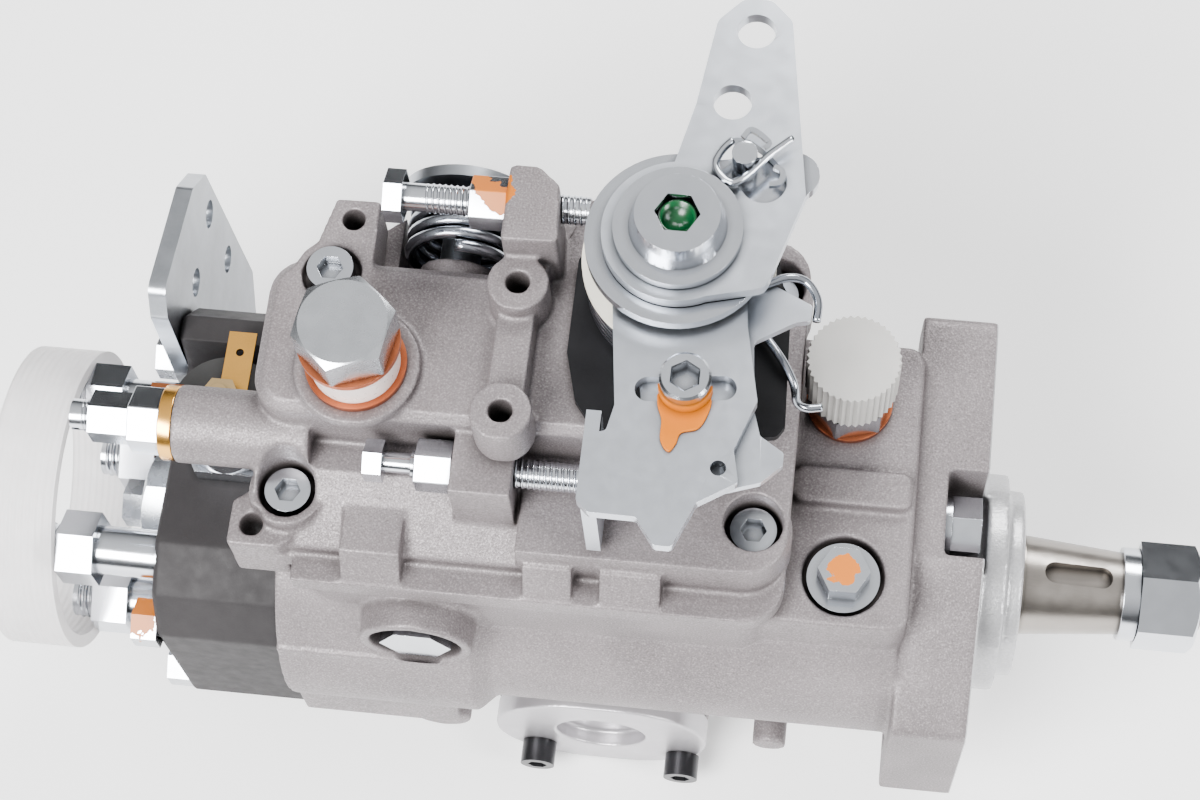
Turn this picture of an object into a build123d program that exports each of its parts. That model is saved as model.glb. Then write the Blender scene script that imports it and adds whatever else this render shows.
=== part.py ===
from build123d import *
import math
import os

# A four-outlet rotary diesel injection pump, in millimetres.
# +X runs along the drive shaft towards its nose, +Z up to the governor cover.
# The origin is the centre of the flange's mounting face, on the shaft axis.

# Mounting flange and pilot
FLANGE_T = 17.0
FLANGE_NEAR = 42.0
FLANGE_FAR = 50.0
FLANGE_TOP = 36.0
FLANGE_BOTTOM = 38.0
FLANGE_HOLE_R = 4.5
LOWER_HOLES_Y = (-29.0, 29.0)
LOWER_HOLES_Z = -28.0
UPPER_HOLE_YZ = (40.0, 24.0)
PILOT_R = 25.0
PILOT_L = 6.0
STEP_R = 21.4
STEP_L = 4.0

# Housing casting
HEAD_X = -156.0
BORE_R = 27.0
BARREL_R = BORE_R + 14
BARREL_NOSE_R = BORE_R + 10
BARREL_STEP_X = -112.0
SPLIT_Z = 43.0
DECK_Z = 40.0
CHAMBER_Y = (-29.0, 51.0)
CHAMBER_X = (HEAD_X + 6, -44.0)
WALL = 5.0
BOX_ROUND = 9.0

# Shaft line
JOURNAL_R = 12.5
SHAFT_FIT = 0.04
BUSH_WALL = 2.5
CONE_R0 = 11.5
CONE_R1 = 9.5
CONE_X0 = 11.0
CONE_X1 = 33.5
THREAD_R = 7.0
SHAFT_END_X = 52.0
NUT_AF = 22.0
WASHER_R = 10.8
WASHER_T = 4.0
SEAL_L = 8.0

# Vane pump
PUMP_X = (-50.0, -32.0)
PUMP_RING_R = BORE_R - 0.1
PUMP_CAVITY_R = 20.0
PUMP_OFFSET = 2.2
ROTOR_R = 17.5
VANE_T = 2.4
PUMP_PLATE_T = 4.0

# Gears and governor
GEAR_X = (-70.5, -64.0)
GEAR_MODULE = 1.5
DRIVE_TEETH = 37
GOVERNOR_TEETH = 24
GOVERNOR_Y = 14.8
GOVERNOR_SHAFT_R = 4.0
WEIGHT_PIVOT_X = -74.5
WEIGHT_L = 15.0
SLEEVE_R = 7.0
NOSE_R = 2.0
SLEEVE_X = (-101.0, -79.3)
LEVER_T = 3.0
LEVER_PIVOT_XZ = (-108.5, 27.0)

# Cam, rollers and plunger
CROSS_X = (-77.5, -73.0)
ROLLER_RING_X = (-92.0, -79.5)
ROLLER_RING_R = BORE_R - 0.8
ROLLER_R = 5.0
ROLLER_L = 6.5
CAM_PLATE_T = 6.0
CAM_LIFT = 2.2
PLUNGER_R = 6.0
SPILL_X = (-124.0, -114.0)
SPILL_R = 10.5
PLUNGER_SPRING_Y = 17.0

# Timing device across the bottom
TIMING_X = -85.5
TIMING_R = 13.0
TIMING_Z = -(BORE_R + TIMING_R + 6)
TIMING_TRAVEL = 7.0
TIMING_FACE_Y = -27.0
TIMING_COVER_T = 6.0
TIMING_BACK_Y = 33.0
TIMING_BOSS_R = TIMING_R + 6
TIMING_PAD_R = TIMING_R + 9

# Distributor head and outlets
HEAD_L = 30.0
HEAD_BACK_X = HEAD_X - HEAD_L
HEAD_SPIGOT_L = 8.0
BARREL_SLEEVE_R = 14.0
OUTLET_OFFSET = 18.4
OUTLET_TIP_X = HEAD_BACK_X - 28
OUTLET_HEX_AF = 15.0
OUTLET_BODY_R = 5.6
RING_WALL = 3.0
RING_L = 15.7
BRACKET_T = 4.0

# Governor cover
COVER_X = (HEAD_X - 2, -43.0)
COVER_Y = (-31.0, 53.0)
COVER_FLANGE_TOP = 49.0
COVER_WALL_Y = -24.5
COVER_BASE_TOP = 62.0
DOME_X = (HEAD_X - 2, -58.0)
DOME_Y = (-3.0, 32.5)
DOME_TOP = 78.0
COVER_WALL = 4.0
COVER_SCREWS = ((COVER_X[0] + 7, -13.5), (COVER_X[1] - 7.5, -13.0), (COVER_X[0] + 13.2, 28.8),
                (COVER_X[1] - 7.5, 42.0))
COVER_SCREW_FLOORS = (51.0, 51.0, DOME_TOP - 3, 51.0)
SCREW_HEAD_R = 5.0
SCREW_HEAD_H = 6.0
BOSS_X = -103.3
BOSS_TOP = DOME_TOP + 12
BOSS_Y = (-4.0, 25.0)
REAR_BOSS = (-2.0, 61.0)
REAR_BOSS_R = 8.5
OVERFLOW_XY = (COVER_X[0] + 22, 7.5)
OVERFLOW_AF = 19.0

# Adjusting screws
STOP_SCREW_R = 3.0
M6_R = 3.0
M5_R = 2.5
IDLE_YZ = (-9.5, 69.0)
MAX_YZ = (42.5, DOME_TOP + 12)

# Levers on the cover
SPEED_AXIS = (-70.0, 30.0)
SPEED_SHAFT_R = 6.0
LEVER_PLATE_Z = DOME_TOP + 21
LEVER_PLATE_T = 3.0
ARM_Z = LEVER_PLATE_Z + LEVER_PLATE_T + 5
ARM_T = 3.0
CAP_TOP = ARM_Z + ARM_T + 8
STOP_AXIS_XZ = (COVER_X[0] + 38.4, 66.0)
STOP_DISC_R = 14.5
STOP_DISC_Y = 53.5
STOP_COIL_R = 11.4
STOP_ARM = (-6.0, -24.0)

# Straight runs in one turn of a coil spring
COIL_RUNS = 12

# Clearances between pieces that move against each other
RUN = 0.3
SLIDE_FIT = 0.05

# Places that follow from the sizes above
DECK_Y = (CHAMBER_Y[0] + 2, CHAMBER_Y[1] - 11)
CHAMBER_FLOOR_Z = 8.0
GOVERNOR_SHAFT_END = GEAR_X[1] + 10
LOCK_BOLT_YZ = (3.0, 25.0)
LOCK_NOTCH = 20.0
LOCK_SEAT_Z = 17.0
LOCK_BOLT_X = -9.0
LOCK_BOLT_L = 16.0
DECK_PAD_X = (-43.0, -17.0)
DECK_PAD_Y = (0.0, 8.5)
DECK_PAD_H = 3.0
DECK_PLUG_XY = (-30.5, -15.5)
DECK_PLUG_SEAT_R = 9.0
FITTING_XY = (-32.3, 25.0)
SIDE_PLUG_XZ = (-123.3, 27.0)
SIDE_PLUG_Y = -36.7
SIDE_PLUG_R = 12.6
SIDE_RECESS_R = 10.3
SIDE_RECESS = 5.0
REAR_FACE_Y = -38.0
REAR_FACE_X = (HEAD_X, -118.0)
REAR_FACE_Z = (-30.0, 18.0)
REAR_FOOT_R = 7.0
SIDE_THREAD_R = 6.0
SIDE_HEX_AF = 14.0
TIMING_PAD_HALF = TIMING_R + 13
TIMING_PAD_T = 8.0
TIMING_SCREWS_X = (TIMING_X - TIMING_R - 3, TIMING_X + TIMING_R + 7)
TIMING_SCREWS_Z = TIMING_Z - TIMING_R
TIMING_HEAD_R = 4.25
SHAFT_BOSS_R = 14.0
OVERFLOW_BOSS_R = 13.5
OVERFLOW_SHANK_R = 6.0
REAR_BOSS_X = DOME_X[0] - 18
REAR_SCREW_R = 4.0
CORNER_X = COVER_X[0] + 27
CORNER_Y = 32.0
LUG_HOLE_XY = (COVER_X[0] + 16, 42.0)
LUG_HOLE_DEPTH = 12.0
LUG_T = 14.0
LUG_POINTS = [(LUG_HOLE_XY[0] + x, LUG_HOLE_XY[1] + y)
              for x, y in ((-9.3, -15), (-4.4, 4.7), (5.4, 5), (5.7, -15))]
M6_CORE_R = 2.5
IDLE_BLOCK_X = (BOSS_X - 10.7, BOSS_X + 2.3)
FAR_PAD_X = (-97.0, -84.0)
EDGE_BLOCKS_X = ((-138.0, -125.0), (-98.5, -88.0), (-82.0, -69.0))
SLOPE_END_X = -100.0
SLOPE_LOW_Z = 51.0
SLOPE_TOP_Y = -10.0
CORNER_LUG_XY = (COVER_X[0] - 0.3, -20.9)
CORNER_LUG_Z = (37.0, 54.0)
SCREW_POCKET_R = 6.3
STOP_SHAFT_R = 4.5
STOP_BOSS_R = 8.5
RECESS_X = (STOP_AXIS_XZ[0] - 13.9, STOP_AXIS_XZ[0] + 18.1)
RECESS_Z = 52.0
SOLENOID_XY = (HEAD_X - 15.5, 10.0)
SOLENOID_THREAD_R = 6.0
BARREL_SLEEVE_X = (HEAD_X - 22, HEAD_X + HEAD_SPIGOT_L)
PLUNGER_END_X = BARREL_SLEEVE_X[0] + 1
HEAD_PLUG_R = 9.0
OUTLET_THREAD_R = 6.0
SOLENOID_SEAT_Z = OUTLET_OFFSET + OUTLET_THREAD_R + 2.1
OUTLET_TIP_R = 5.0
OUTLET_DEPTH = 7.0
RING_R = round(OUTLET_OFFSET * math.sqrt(2) + OUTLET_TIP_R + RING_WALL + 1.5, 1)
HEAD_BOLTS = ((-28.5, -34.5), (33.0, -34.5), (33.0, 14.0), (-31.0, 6.0))
HEAD_FLANGE_T = 12.0
FLANGE_SLOPE_Y = -8.0
OUTLET_SEAT_R = 3.6
OUTLET_HEX_X = (OUTLET_TIP_X + 5.5, OUTLET_TIP_X + 14)
RING_X = (OUTLET_HEX_X[0] - RUN - RING_L, OUTLET_HEX_X[0] - RUN)
HEAD_PLUG_AF = 22.0
HEAD_PLUG_H = 9.0
SOLENOID_H = 16.2
ARMATURE_R = 4.0
SPADE_L = 17.0
REAR_WASHER_T = 3.0
REAR_NUT_T = 7.0
REAR_NUT_AF = 13.0
REAR_SLEEVE_L = 9.0
REAR_TIP_L = 4.5
BRACKET_HOLES = ((62.5, 31.8), (62.5, 7.2), (44.5, 32.0))
BRACKET_HOLE_R = 3.4
OVERFLOW_SEAT_Z = DOME_TOP + 2
OVERFLOW_WASHER_T = 1.5
OVERFLOW_TURN = 20.0
OVERFLOW_COLLAR_H = 10.0
IDLE_HEAD_X = BOSS_X - 29.7
MAX_HEAD_X = BOSS_X - 30.2
MAX_TIP_X = BOSS_X + 13.3
TAB_X = -84.6
TAB_Y = (-23.4, -7.0)
TAB_LOW_Z = IDLE_YZ[1] - 4.5
CAP_R = 10.2
CAP_H = 14.0
CAP_RIDGES = 40
FITTING_TOP = 51.0
SHAFT_REAR_R = 9.0
CLAW_R = 16.0
KEY_X = (15.5, 31.0)
KEY_W = 5.0
VANE_ANGLES = (45, 135, 225, 315)
ROLLER_ANGLES = (45, 135, 225, 315)
ROLLER_X = ROLLER_RING_X[0] + 1.5
ROLLER_FRONT_X = ROLLER_X - ROLLER_R
CAM_TRACK_R = 19.0
CAM_LOBE_R = 11.0
CAM_BACK_X = ROLLER_FRONT_X - RUN - CAM_LIFT - CAM_PLATE_T
FOOT_T = 3.0
YOKE_T = 2.5
BALL_X = (SPILL_X[0] + SPILL_X[1]) / 2
BALL_R = 1.8
BALL_Z = SPILL_R - 0.2
TIMING_PIN_R = 4.0
PIN_TILT = 2.6
TIMING_PISTON_Y = (-22.0, 16.0)
WEIGHT_HALF = 6.8
SPRING_YZ = (24.0, 65.5)
SPRING_PIN_X = -74.0
CRANK_R = 9.0
SHAFT_LOW_Z = DOME_TOP - 8.5
ARM_END = (-58.4, 77.0)
ARM_HOLE = (-61.8, 60.0)
PIN_R = 20.0
PIN_ANGLE = 53.5
WINDOW_R = (15.5, 25.0)
WINDOW_ANGLES = (37.6, 58.4)
PIN_TOP = ARM_Z + 8
UNDER_PLATE_EAR = (-47.8, 46.3)
LOWER_PLATE_T = 2.0
LEVER_HUB_R = 14.5
PLATE_SLOT = ((-73.0, -1.5), (-58.0, 0.1))
PLATE_SLOT_R = 2.6
PLATE_HOLE = (-57.5, -16.9)
PIN_SIZE_R = 2.6
UNDER_PLATE_R = 19.0
UNDER_PLATE_T = 2.5
ARM_HOLE_R = 4.0
DRUM_R = 15.8
DRUM_RIM_R = 20.0
DRUM_RIM_T = 2.0
SHIELD_T = 2.0
UPPER_PLATE = [(-82.5, 20), (-79.2, -5.5), (-80.3, -11), (-84.5, -12.5), (-84.6, -26), (-82, -28.4),
               (-72.5, -28.5), (-68.5, -34), (-65, -34), (-61, -24.4), (-53.3, -19.5), (-54.8, -12.8),
               (-51.1, -2), (-54.5, 14), (-56, 30)]
LOWER_PLATE = [(-80, 24), (-74, -4), (-66, -17), (-59, -21.4), (-49, -18), (-45, -14), (-45, -11.4),
               (-50, -8.2), (-51.6, -3), (-53, 12), (-45, 17), (-42, 17.6), (-42, 21), (-50.5, 25),
               (-58, 38)]
ARM_OUTLINE = [(-72.5, 44), (-69.2, 59), (-66.6, 79), (-61.5, 84.6), (-55.8, 84.6), (-51.2, 80), (-45.2, 40),
               (-51.5, 19), (-66, 15.4), (-80, 30)]
SHIELD_OUTLINE = [(-92.3, 14.4), (-89.4, 3.7), (-84.5, -2.6), (-77.5, -5.2), (-47, -0.5), (-45.5, 2),
                  (-46.4, 24), (-50, 40), (-60, 48), (-84, 48), (-92.3, 36)]
GEAR_DISTANCE = GEAR_MODULE * (DRIVE_TEETH + GOVERNOR_TEETH) / 2
GOVERNOR_Z = math.sqrt(GEAR_DISTANCE ** 2 - GOVERNOR_Y ** 2)
DRIVE_GEAR_TURN = math.degrees(math.atan2(GOVERNOR_Y, -GOVERNOR_Z))
GOVERNOR_GEAR_TURN = DRIVE_GEAR_TURN + 180 + 180 / GOVERNOR_TEETH
OUTLETS = [(y, z) for y in (-OUTLET_OFFSET, OUTLET_OFFSET) for z in (-OUTLET_OFFSET, OUTLET_OFFSET)]


def rod(axis, radius, start, end, u=0.0, v=0.0, top_radius=None):
    """A cylinder, or a cone when top_radius is given, along one axis."""
    low, high = min(start, end), max(start, end)
    fix = (Align.CENTER, Align.CENTER, Align.MIN)
    if top_radius is None:
        solid = Cylinder(radius, high - low, align=fix)
    else:
        solid = Cone(radius, top_radius, high - low, align=fix)
    return stand(solid, axis, low, u, v)


def stand(solid, axis, low, u, v):
    """Turn a solid that stands on the XY plane so that it points along the axis."""
    if axis == "x":
        return Pos(low, u, v) * Rot(0, 90, 0) * solid
    if axis == "y":
        return Pos(u, low, v) * Rot(-90, 0, 0) * solid
    return Pos(u, v, low) * solid


def hexagon(axis, across, start, end, u=0.0, v=0.0, turn=0.0):
    """A hexagonal prism given by its size across flats."""
    low, high = min(start, end), max(start, end)
    outline = RegularPolygon(across / 2, 6, major_radius=False, rotation=turn)
    return stand(extrude(outline, high - low), axis, low, u, v)


def hex_head(axis, across, start, end, u=0.0, v=0.0, turn=0.0):
    """A hexagon from its seat at start, its outer corners turned down by a cone."""
    length = abs(end - start)
    top_r = across / 2 * 0.97
    blank = rod("z", top_r + length / math.tan(math.radians(30)), 0, length, top_radius=top_r)
    prism = hexagon("z", across, 0, length, turn=turn) & blank
    if end < start:
        prism = Rot(180, 0, 0) * prism
    return stand(prism, axis, start, u, v)


def tube(axis, outer, inner, start, end, u=0.0, v=0.0):
    return rod(axis, outer, start, end, u, v) - rod(axis, inner, start, end, u, v)


def block(x, y, z, round_r=0.0):
    """A box between two limits on each axis, with rounded upright corners."""
    size = (x[1] - x[0], y[1] - y[0])
    outline = RectangleRounded(*size, round_r) if round_r else Rectangle(*size)
    return Pos((x[0] + x[1]) / 2, (y[0] + y[1]) / 2, z[0]) * extrude(outline, z[1] - z[0])


def plate_x(points, x, round_r=0.0):
    """A plate across the X axis from (y, z) points."""
    outline = Polygon(*points, align=None)
    if round_r:
        outline = fillet(outline.vertices(), round_r)
    return Pos(x[0], 0, 0) * (Plane.YZ * extrude(outline, x[1] - x[0], dir=(0, 0, 1)))


def plate_z(points, z, round_r=0.0):
    """A flat plate from (x, y) points."""
    outline = Polygon(*points, align=None)
    if round_r:
        outline = fillet(outline.vertices(), round_r)
    return Pos(0, 0, z[0]) * extrude(outline, z[1] - z[0], dir=(0, 0, 1))


def arm(start, end, r0, r1, z):
    """A flat lever between two round ends, narrowing from r0 to r1."""
    length = math.dist(start, end)
    turn = math.degrees(math.atan2(end[1] - start[1], end[0] - start[0]))
    outline = Circle(r0) + Pos(length, 0) * Circle(r1)
    outline += Polygon((0, -r0), (length, -r1), (length, r1), (0, r0), align=None)
    return Pos(start[0], start[1], z[0]) * Rot(0, 0, turn) * extrude(outline, z[1] - z[0])


def at_angle(radius, degrees):
    return radius * math.cos(math.radians(degrees)), radius * math.sin(math.radians(degrees))


def coil(radius, wire, turns, length):
    """A coil spring of square wire in short straight runs, standing on the XY plane."""
    rise = (length - wire) / (COIL_RUNS * turns)
    points = []
    for step in range(COIL_RUNS * turns + 1):
        x, y = at_angle(radius, 360 / COIL_RUNS * step)
        points.append((x, y, wire / 2 + rise * step))
    path = Polyline(*points)
    section = Plane(path @ 0, x_dir=(1, 0, 0), z_dir=path % 0) * Rectangle(wire, wire)
    return sweep(section, path, transition=Transition.RIGHT)


def gear(module, teeth, turn=0.0):
    """The outline of a spur gear with straight-flanked teeth."""
    pitch_r = module * teeth / 2
    root, tip = pitch_r - 1.2 * module, pitch_r + 0.9 * module
    step = 2 * math.pi / teeth
    points = []
    for tooth in range(teeth):
        middle = math.radians(turn) + tooth * step
        for radius, share in ((root, -0.32), (tip, -0.12), (tip, 0.12), (root, 0.32)):
            angle = middle + share * step
            points.append((radius * math.cos(angle), radius * math.sin(angle)))
    return Polygon(*points, align=None)


def group(pieces):
    """Separate solids that share one node."""
    return Compound(children=[piece.solid() for piece in pieces])


# Castings

def flange_outline():
    """The flange seen along the shaft: a sloped near shoulder and a long far ear."""
    return [(-FLANGE_NEAR, -FLANGE_BOTTOM), (-FLANGE_NEAR, FLANGE_TOP / 3), (FLANGE_SLOPE_Y, FLANGE_TOP),
            (FLANGE_FAR, FLANGE_TOP), (FLANGE_FAR + 3, FLANGE_TOP / 2),
            (FLANGE_NEAR + 3, -4), (FLANGE_NEAR, -FLANGE_BOTTOM)]


def with_cut_corner(x, y, inset):
    """A rectangle in plan with its far rear corner cut off, drawn in by inset."""
    run, rise = CORNER_X - x[0], y[1] - CORNER_Y
    slant = math.hypot(run, rise)
    return [(x[0] + inset, y[0] + inset), (x[1] - inset, y[0] + inset), (x[1] - inset, y[1] - inset),
            (CORNER_X + inset * (slant - run) / rise, y[1] - inset),
            (x[0] + inset, CORNER_Y - inset * (slant - rise) / run)]


def housing_outside():
    """The cast outside: nose barrel, rear barrel, chamber box, deck, flange and bosses."""
    solid = plate_x(flange_outline(), (-FLANGE_T, 0), 2.5)
    solid += rod("x", PILOT_R, -1, PILOT_L) + rod("x", STEP_R, 0, PILOT_L + STEP_L)
    solid += rod("x", BARREL_R, HEAD_X, BARREL_STEP_X)
    shoulder = BARREL_R - BARREL_NOSE_R
    solid += rod("x", BARREL_R, BARREL_STEP_X, BARREL_STEP_X + shoulder, top_radius=BARREL_NOSE_R)
    solid += rod("x", BARREL_NOSE_R, BARREL_STEP_X, -FLANGE_T)
    solid += plate_z(with_cut_corner(CHAMBER_X, CHAMBER_Y, 0), (0, SPLIT_Z), BOX_ROUND)
    solid += block((CHAMBER_X[1] - BOX_ROUND, -FLANGE_T + 1), DECK_Y, (0, DECK_Z), 4)
    solid += block(DECK_PAD_X, DECK_PAD_Y, (DECK_Z - 1, DECK_Z + DECK_PAD_H), 2)
    solid += timing_boss()
    solid += plate_x(head_outline(SPLIT_Z), (HEAD_X, HEAD_X + HEAD_FLANGE_T))
    solid += block((GOVERNOR_SHAFT_END - 8, GOVERNOR_SHAFT_END), (GOVERNOR_Y - 8, GOVERNOR_Y + 8),
                   (SPLIT_Z - 2, GOVERNOR_Z + 8))
    solid += rod("y", 4.0, -BARREL_NOSE_R + 1, -8, -44, -30)
    return solid + rear_side()


def rear_side():
    """The flat face beside the rear barrel, the plug's round boss over it and a foot below."""
    face = block(REAR_FACE_X, (REAR_FACE_Y, 0), REAR_FACE_Z)
    foot = rod("y", REAR_FOOT_R, REAR_FACE_Y + 1, 0, REAR_FACE_X[1] - REAR_FOOT_R + 2, REAR_FACE_Z[0])
    return face + foot + rod("y", SIDE_PLUG_R, SIDE_PLUG_Y, 0, *SIDE_PLUG_XZ)


def timing_boss():
    """The cross cylinder of the timing device with its machined oval pad."""
    barrel = rod("y", TIMING_BOSS_R, TIMING_FACE_Y, TIMING_BACK_Y, TIMING_X, TIMING_Z)
    return barrel + timing_oval(TIMING_FACE_Y, TIMING_PAD_T)


def timing_oval(face, thickness):
    """An oval plate across the timing bore, from a face towards the far side."""
    outline = RectangleRounded(2 * TIMING_PAD_HALF, 2 * TIMING_PAD_R, TIMING_PAD_R - 0.5)
    return Pos(TIMING_X, face, TIMING_Z - 1) * Rot(-90, 0, 0) * extrude(outline, thickness)


def pump_housing():
    solid = housing_outside()
    solid -= rod("x", BORE_R, HEAD_X - 1, PUMP_X[1])
    cavity = with_cut_corner((CHAMBER_X[0] + 2, GEAR_X[1] + 2 + WALL), CHAMBER_Y, WALL)
    solid -= plate_z(cavity, (CHAMBER_FLOOR_Z, SPLIT_Z + 1), BOX_ROUND - 3)
    gear_r = GEAR_MODULE * (DRIVE_TEETH / 2 + 0.9) + 0.8
    solid -= rod("x", gear_r, GEAR_X[0] - 1, GEAR_X[1] + 1.5)
    solid -= rod("x", JOURNAL_R + BUSH_WALL, PUMP_X[1] - 1, PILOT_L + STEP_L + 1)
    solid -= rod("y", TIMING_R + SLIDE_FIT, TIMING_FACE_Y - 5, TIMING_BACK_Y - WALL, TIMING_X, TIMING_Z)
    solid -= block((TIMING_X - 6, TIMING_X + 6), (-6, TIMING_TRAVEL + 5), (TIMING_Z, 0))
    solid -= rod("x", GOVERNOR_SHAFT_R, GEAR_X[1], GOVERNOR_SHAFT_END, GOVERNOR_Y, GOVERNOR_Z)
    for y, z in [(y, LOWER_HOLES_Z) for y in LOWER_HOLES_Y] + [UPPER_HOLE_YZ]:
        solid -= rod("x", FLANGE_HOLE_R, -FLANGE_T - 1, 1, y, z)
    for x, y in COVER_SCREWS:
        solid += rod("z", M6_R + 2, SPLIT_Z - 16, SPLIT_Z, x, y)
        solid -= rod("z", M6_R + SLIDE_FIT, SPLIT_Z - 14, SPLIT_Z + 1, x, y)
    for y, z in HEAD_BOLTS:
        solid -= rod("x", M6_R + SLIDE_FIT, HEAD_X - 1, HEAD_X + 10, y, z)
    for x in TIMING_SCREWS_X:
        solid -= rod("y", M5_R + SLIDE_FIT, TIMING_FACE_Y - 1, TIMING_FACE_Y + 12, x, TIMING_SCREWS_Z)
    return cut_plug_seats(solid)


def cut_plug_seats(solid):
    """The seats and threads of the locking screw, the deck plug, the fitting and the side plug."""
    solid -= rod("x", 3.0, LOCK_BOLT_X - LOCK_BOLT_L, LOCK_BOLT_X, *LOCK_BOLT_YZ)
    solid -= block((LOCK_BOLT_X, 1), (LOCK_BOLT_YZ[0] - LOCK_NOTCH / 2, LOCK_BOLT_YZ[0] + LOCK_NOTCH / 2),
                   (LOCK_SEAT_Z, FLANGE_TOP + 1))
    solid -= rod("z", DECK_PLUG_SEAT_R, DECK_Z - 4, DECK_Z + 1, *DECK_PLUG_XY)
    solid -= rod("z", 5.0, DECK_Z - 13, DECK_Z, *DECK_PLUG_XY)
    solid -= rod("z", 4.5, DECK_Z - 10, DECK_Z + 1, *FITTING_XY)
    seat = SIDE_PLUG_Y + SIDE_RECESS
    solid -= rod("y", SIDE_RECESS_R, SIDE_PLUG_Y - 1, seat, *SIDE_PLUG_XZ)
    return solid - rod("y", SIDE_THREAD_R, seat - 1, seat + 6, *SIDE_PLUG_XZ)


def cover_solid(inset):
    """The cover's base tier and dome, drawn in by inset on every side but the split."""
    plan = with_cut_corner(COVER_X, (COVER_WALL_Y, COVER_Y[1]), inset)
    base = plate_z(plan, (SPLIT_Z, COVER_BASE_TOP - inset), BOX_ROUND - inset / 2)
    base -= block((RECESS_X[0] - inset, RECESS_X[1] + inset), (DOME_Y[1] + inset, COVER_Y[1] + 1),
                  (RECESS_Z - inset, COVER_BASE_TOP + 1))
    near, over, drop = COVER_WALL_Y - 1, COVER_BASE_TOP + 1, 1.3 * inset
    slope = [(near, SLOPE_LOW_Z - drop), (SLOPE_TOP_Y, COVER_BASE_TOP - drop), (SLOPE_TOP_Y, over),
             (near, over)]
    base -= plate_x(slope, (COVER_X[0] - 1, SLOPE_END_X + inset))
    dome = block((DOME_X[0] + inset, DOME_X[1] - inset), (DOME_Y[0] + inset, DOME_Y[1] - inset),
                 (SPLIT_Z, DOME_TOP - inset), BOX_ROUND - 1 - inset)
    return base, dome


def governor_cover():
    base, dome = cover_solid(0)
    dome = chamfer(dome.faces().sort_by(Axis.Z)[-1].edges(), 2.0)
    solid = base + dome + cover_flange()
    solid += rod("z", SHAFT_BOSS_R, COVER_BASE_TOP - 6, DOME_TOP, *SPEED_AXIS)
    solid += rod("y", STOP_BOSS_R, DOME_Y[1] - 3, DOME_Y[1] + 4, *STOP_AXIS_XZ)
    for y in BOSS_Y:
        solid += rod("z", 6.5, DOME_TOP - 1, BOSS_TOP, BOSS_X, y)
    solid += block((BOSS_X - 4, BOSS_X + 4), (BOSS_Y[0], BOSS_Y[1]), (DOME_TOP - 1, BOSS_TOP - 4))
    solid += block((BOSS_X - 4, BOSS_X + 5.5), (BOSS_Y[1], MAX_YZ[0] - 4), (DOME_TOP - 4, BOSS_TOP - 4))
    solid += block(IDLE_BLOCK_X, (IDLE_YZ[0] - 7.5, DOME_Y[0] + 1), (SPLIT_Z + 2, IDLE_YZ[1] + 6))
    solid += plate_z(max_block_points(), (DOME_TOP - 4, MAX_YZ[1] + 7), 1.0)
    solid += plate_z(far_pad_points(), (COVER_BASE_TOP - 2, DOME_TOP), 1.5)
    solid += plate_z(LUG_POINTS, (DOME_TOP - LUG_T, DOME_TOP), 1.0)
    solid += rod("z", OVERFLOW_BOSS_R, DOME_TOP - 1, DOME_TOP + 2, *OVERFLOW_XY)
    solid += rod("x", REAR_BOSS_R, REAR_BOSS_X, DOME_X[0] + 12, *REAR_BOSS)
    return cut_cover(solid + corner_lug())


def max_block_points():
    """The block of the maximum-speed screw from above, its far corner bevelled."""
    x, y = BOSS_X, MAX_YZ[0]
    return [(x - 4, y - 11.5), (x + 8, y - 11), (x + 7, y + 2), (x + 2.5, y + 6), (x - 4, y + 6)]


def far_pad_points():
    """The raised pad beyond the drum from above."""
    near, far = DOME_Y[1] - 3, DOME_Y[1] + 19
    return [(FAR_PAD_X[0], near), (FAR_PAD_X[1], near), (FAR_PAD_X[1], near + 13), (FAR_PAD_X[1] - 2, far),
            (FAR_PAD_X[0] + 5, far), (FAR_PAD_X[0], near + 7)]


def cover_flange():
    """The low flange along the split, with the buttresses that stand on it."""
    solid = plate_z(with_cut_corner(COVER_X, COVER_Y, 0), (SPLIT_Z, COVER_FLANGE_TOP), BOX_ROUND)
    x, y = CORNER_LUG_XY
    solid -= block((COVER_X[0] - 1, x + 9), (COVER_Y[0] - 1, y - 5), (SPLIT_Z - 1, COVER_FLANGE_TOP + 1))
    near, top = COVER_Y[0], COVER_BASE_TOP - 4
    profile = [(near, SPLIT_Z), (near, COVER_FLANGE_TOP - 1), (near + 5, top - 1), (near + 15, top),
               (near + 15, SPLIT_Z)]
    for x in EDGE_BLOCKS_X:
        solid += plate_x(profile, x)
    return solid


def corner_lug():
    """The tapped lug at the near rear corner, which hangs below the cover's edge."""
    x, y = CORNER_LUG_XY
    upper = [(x - 4.8, y - 5), (x + 6, y - 5), (x + 9, y - 3), (x + 9, y + 9), (x, y + 9), (x - 4.8, y + 5)]
    solid = plate_z(upper, (SPLIT_Z, CORNER_LUG_Z[1]), 1.0)
    lower = [(x - 4.8, y - 5), (x + 7.3, y - 5), (x + 7.3, y + 0.5), (x + 3, y + 3.5), (x, y + 5),
             (x - 4.8, y + 5)]
    return solid + plate_z(lower, (CORNER_LUG_Z[0], SPLIT_Z + 1), 0.5)


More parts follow.
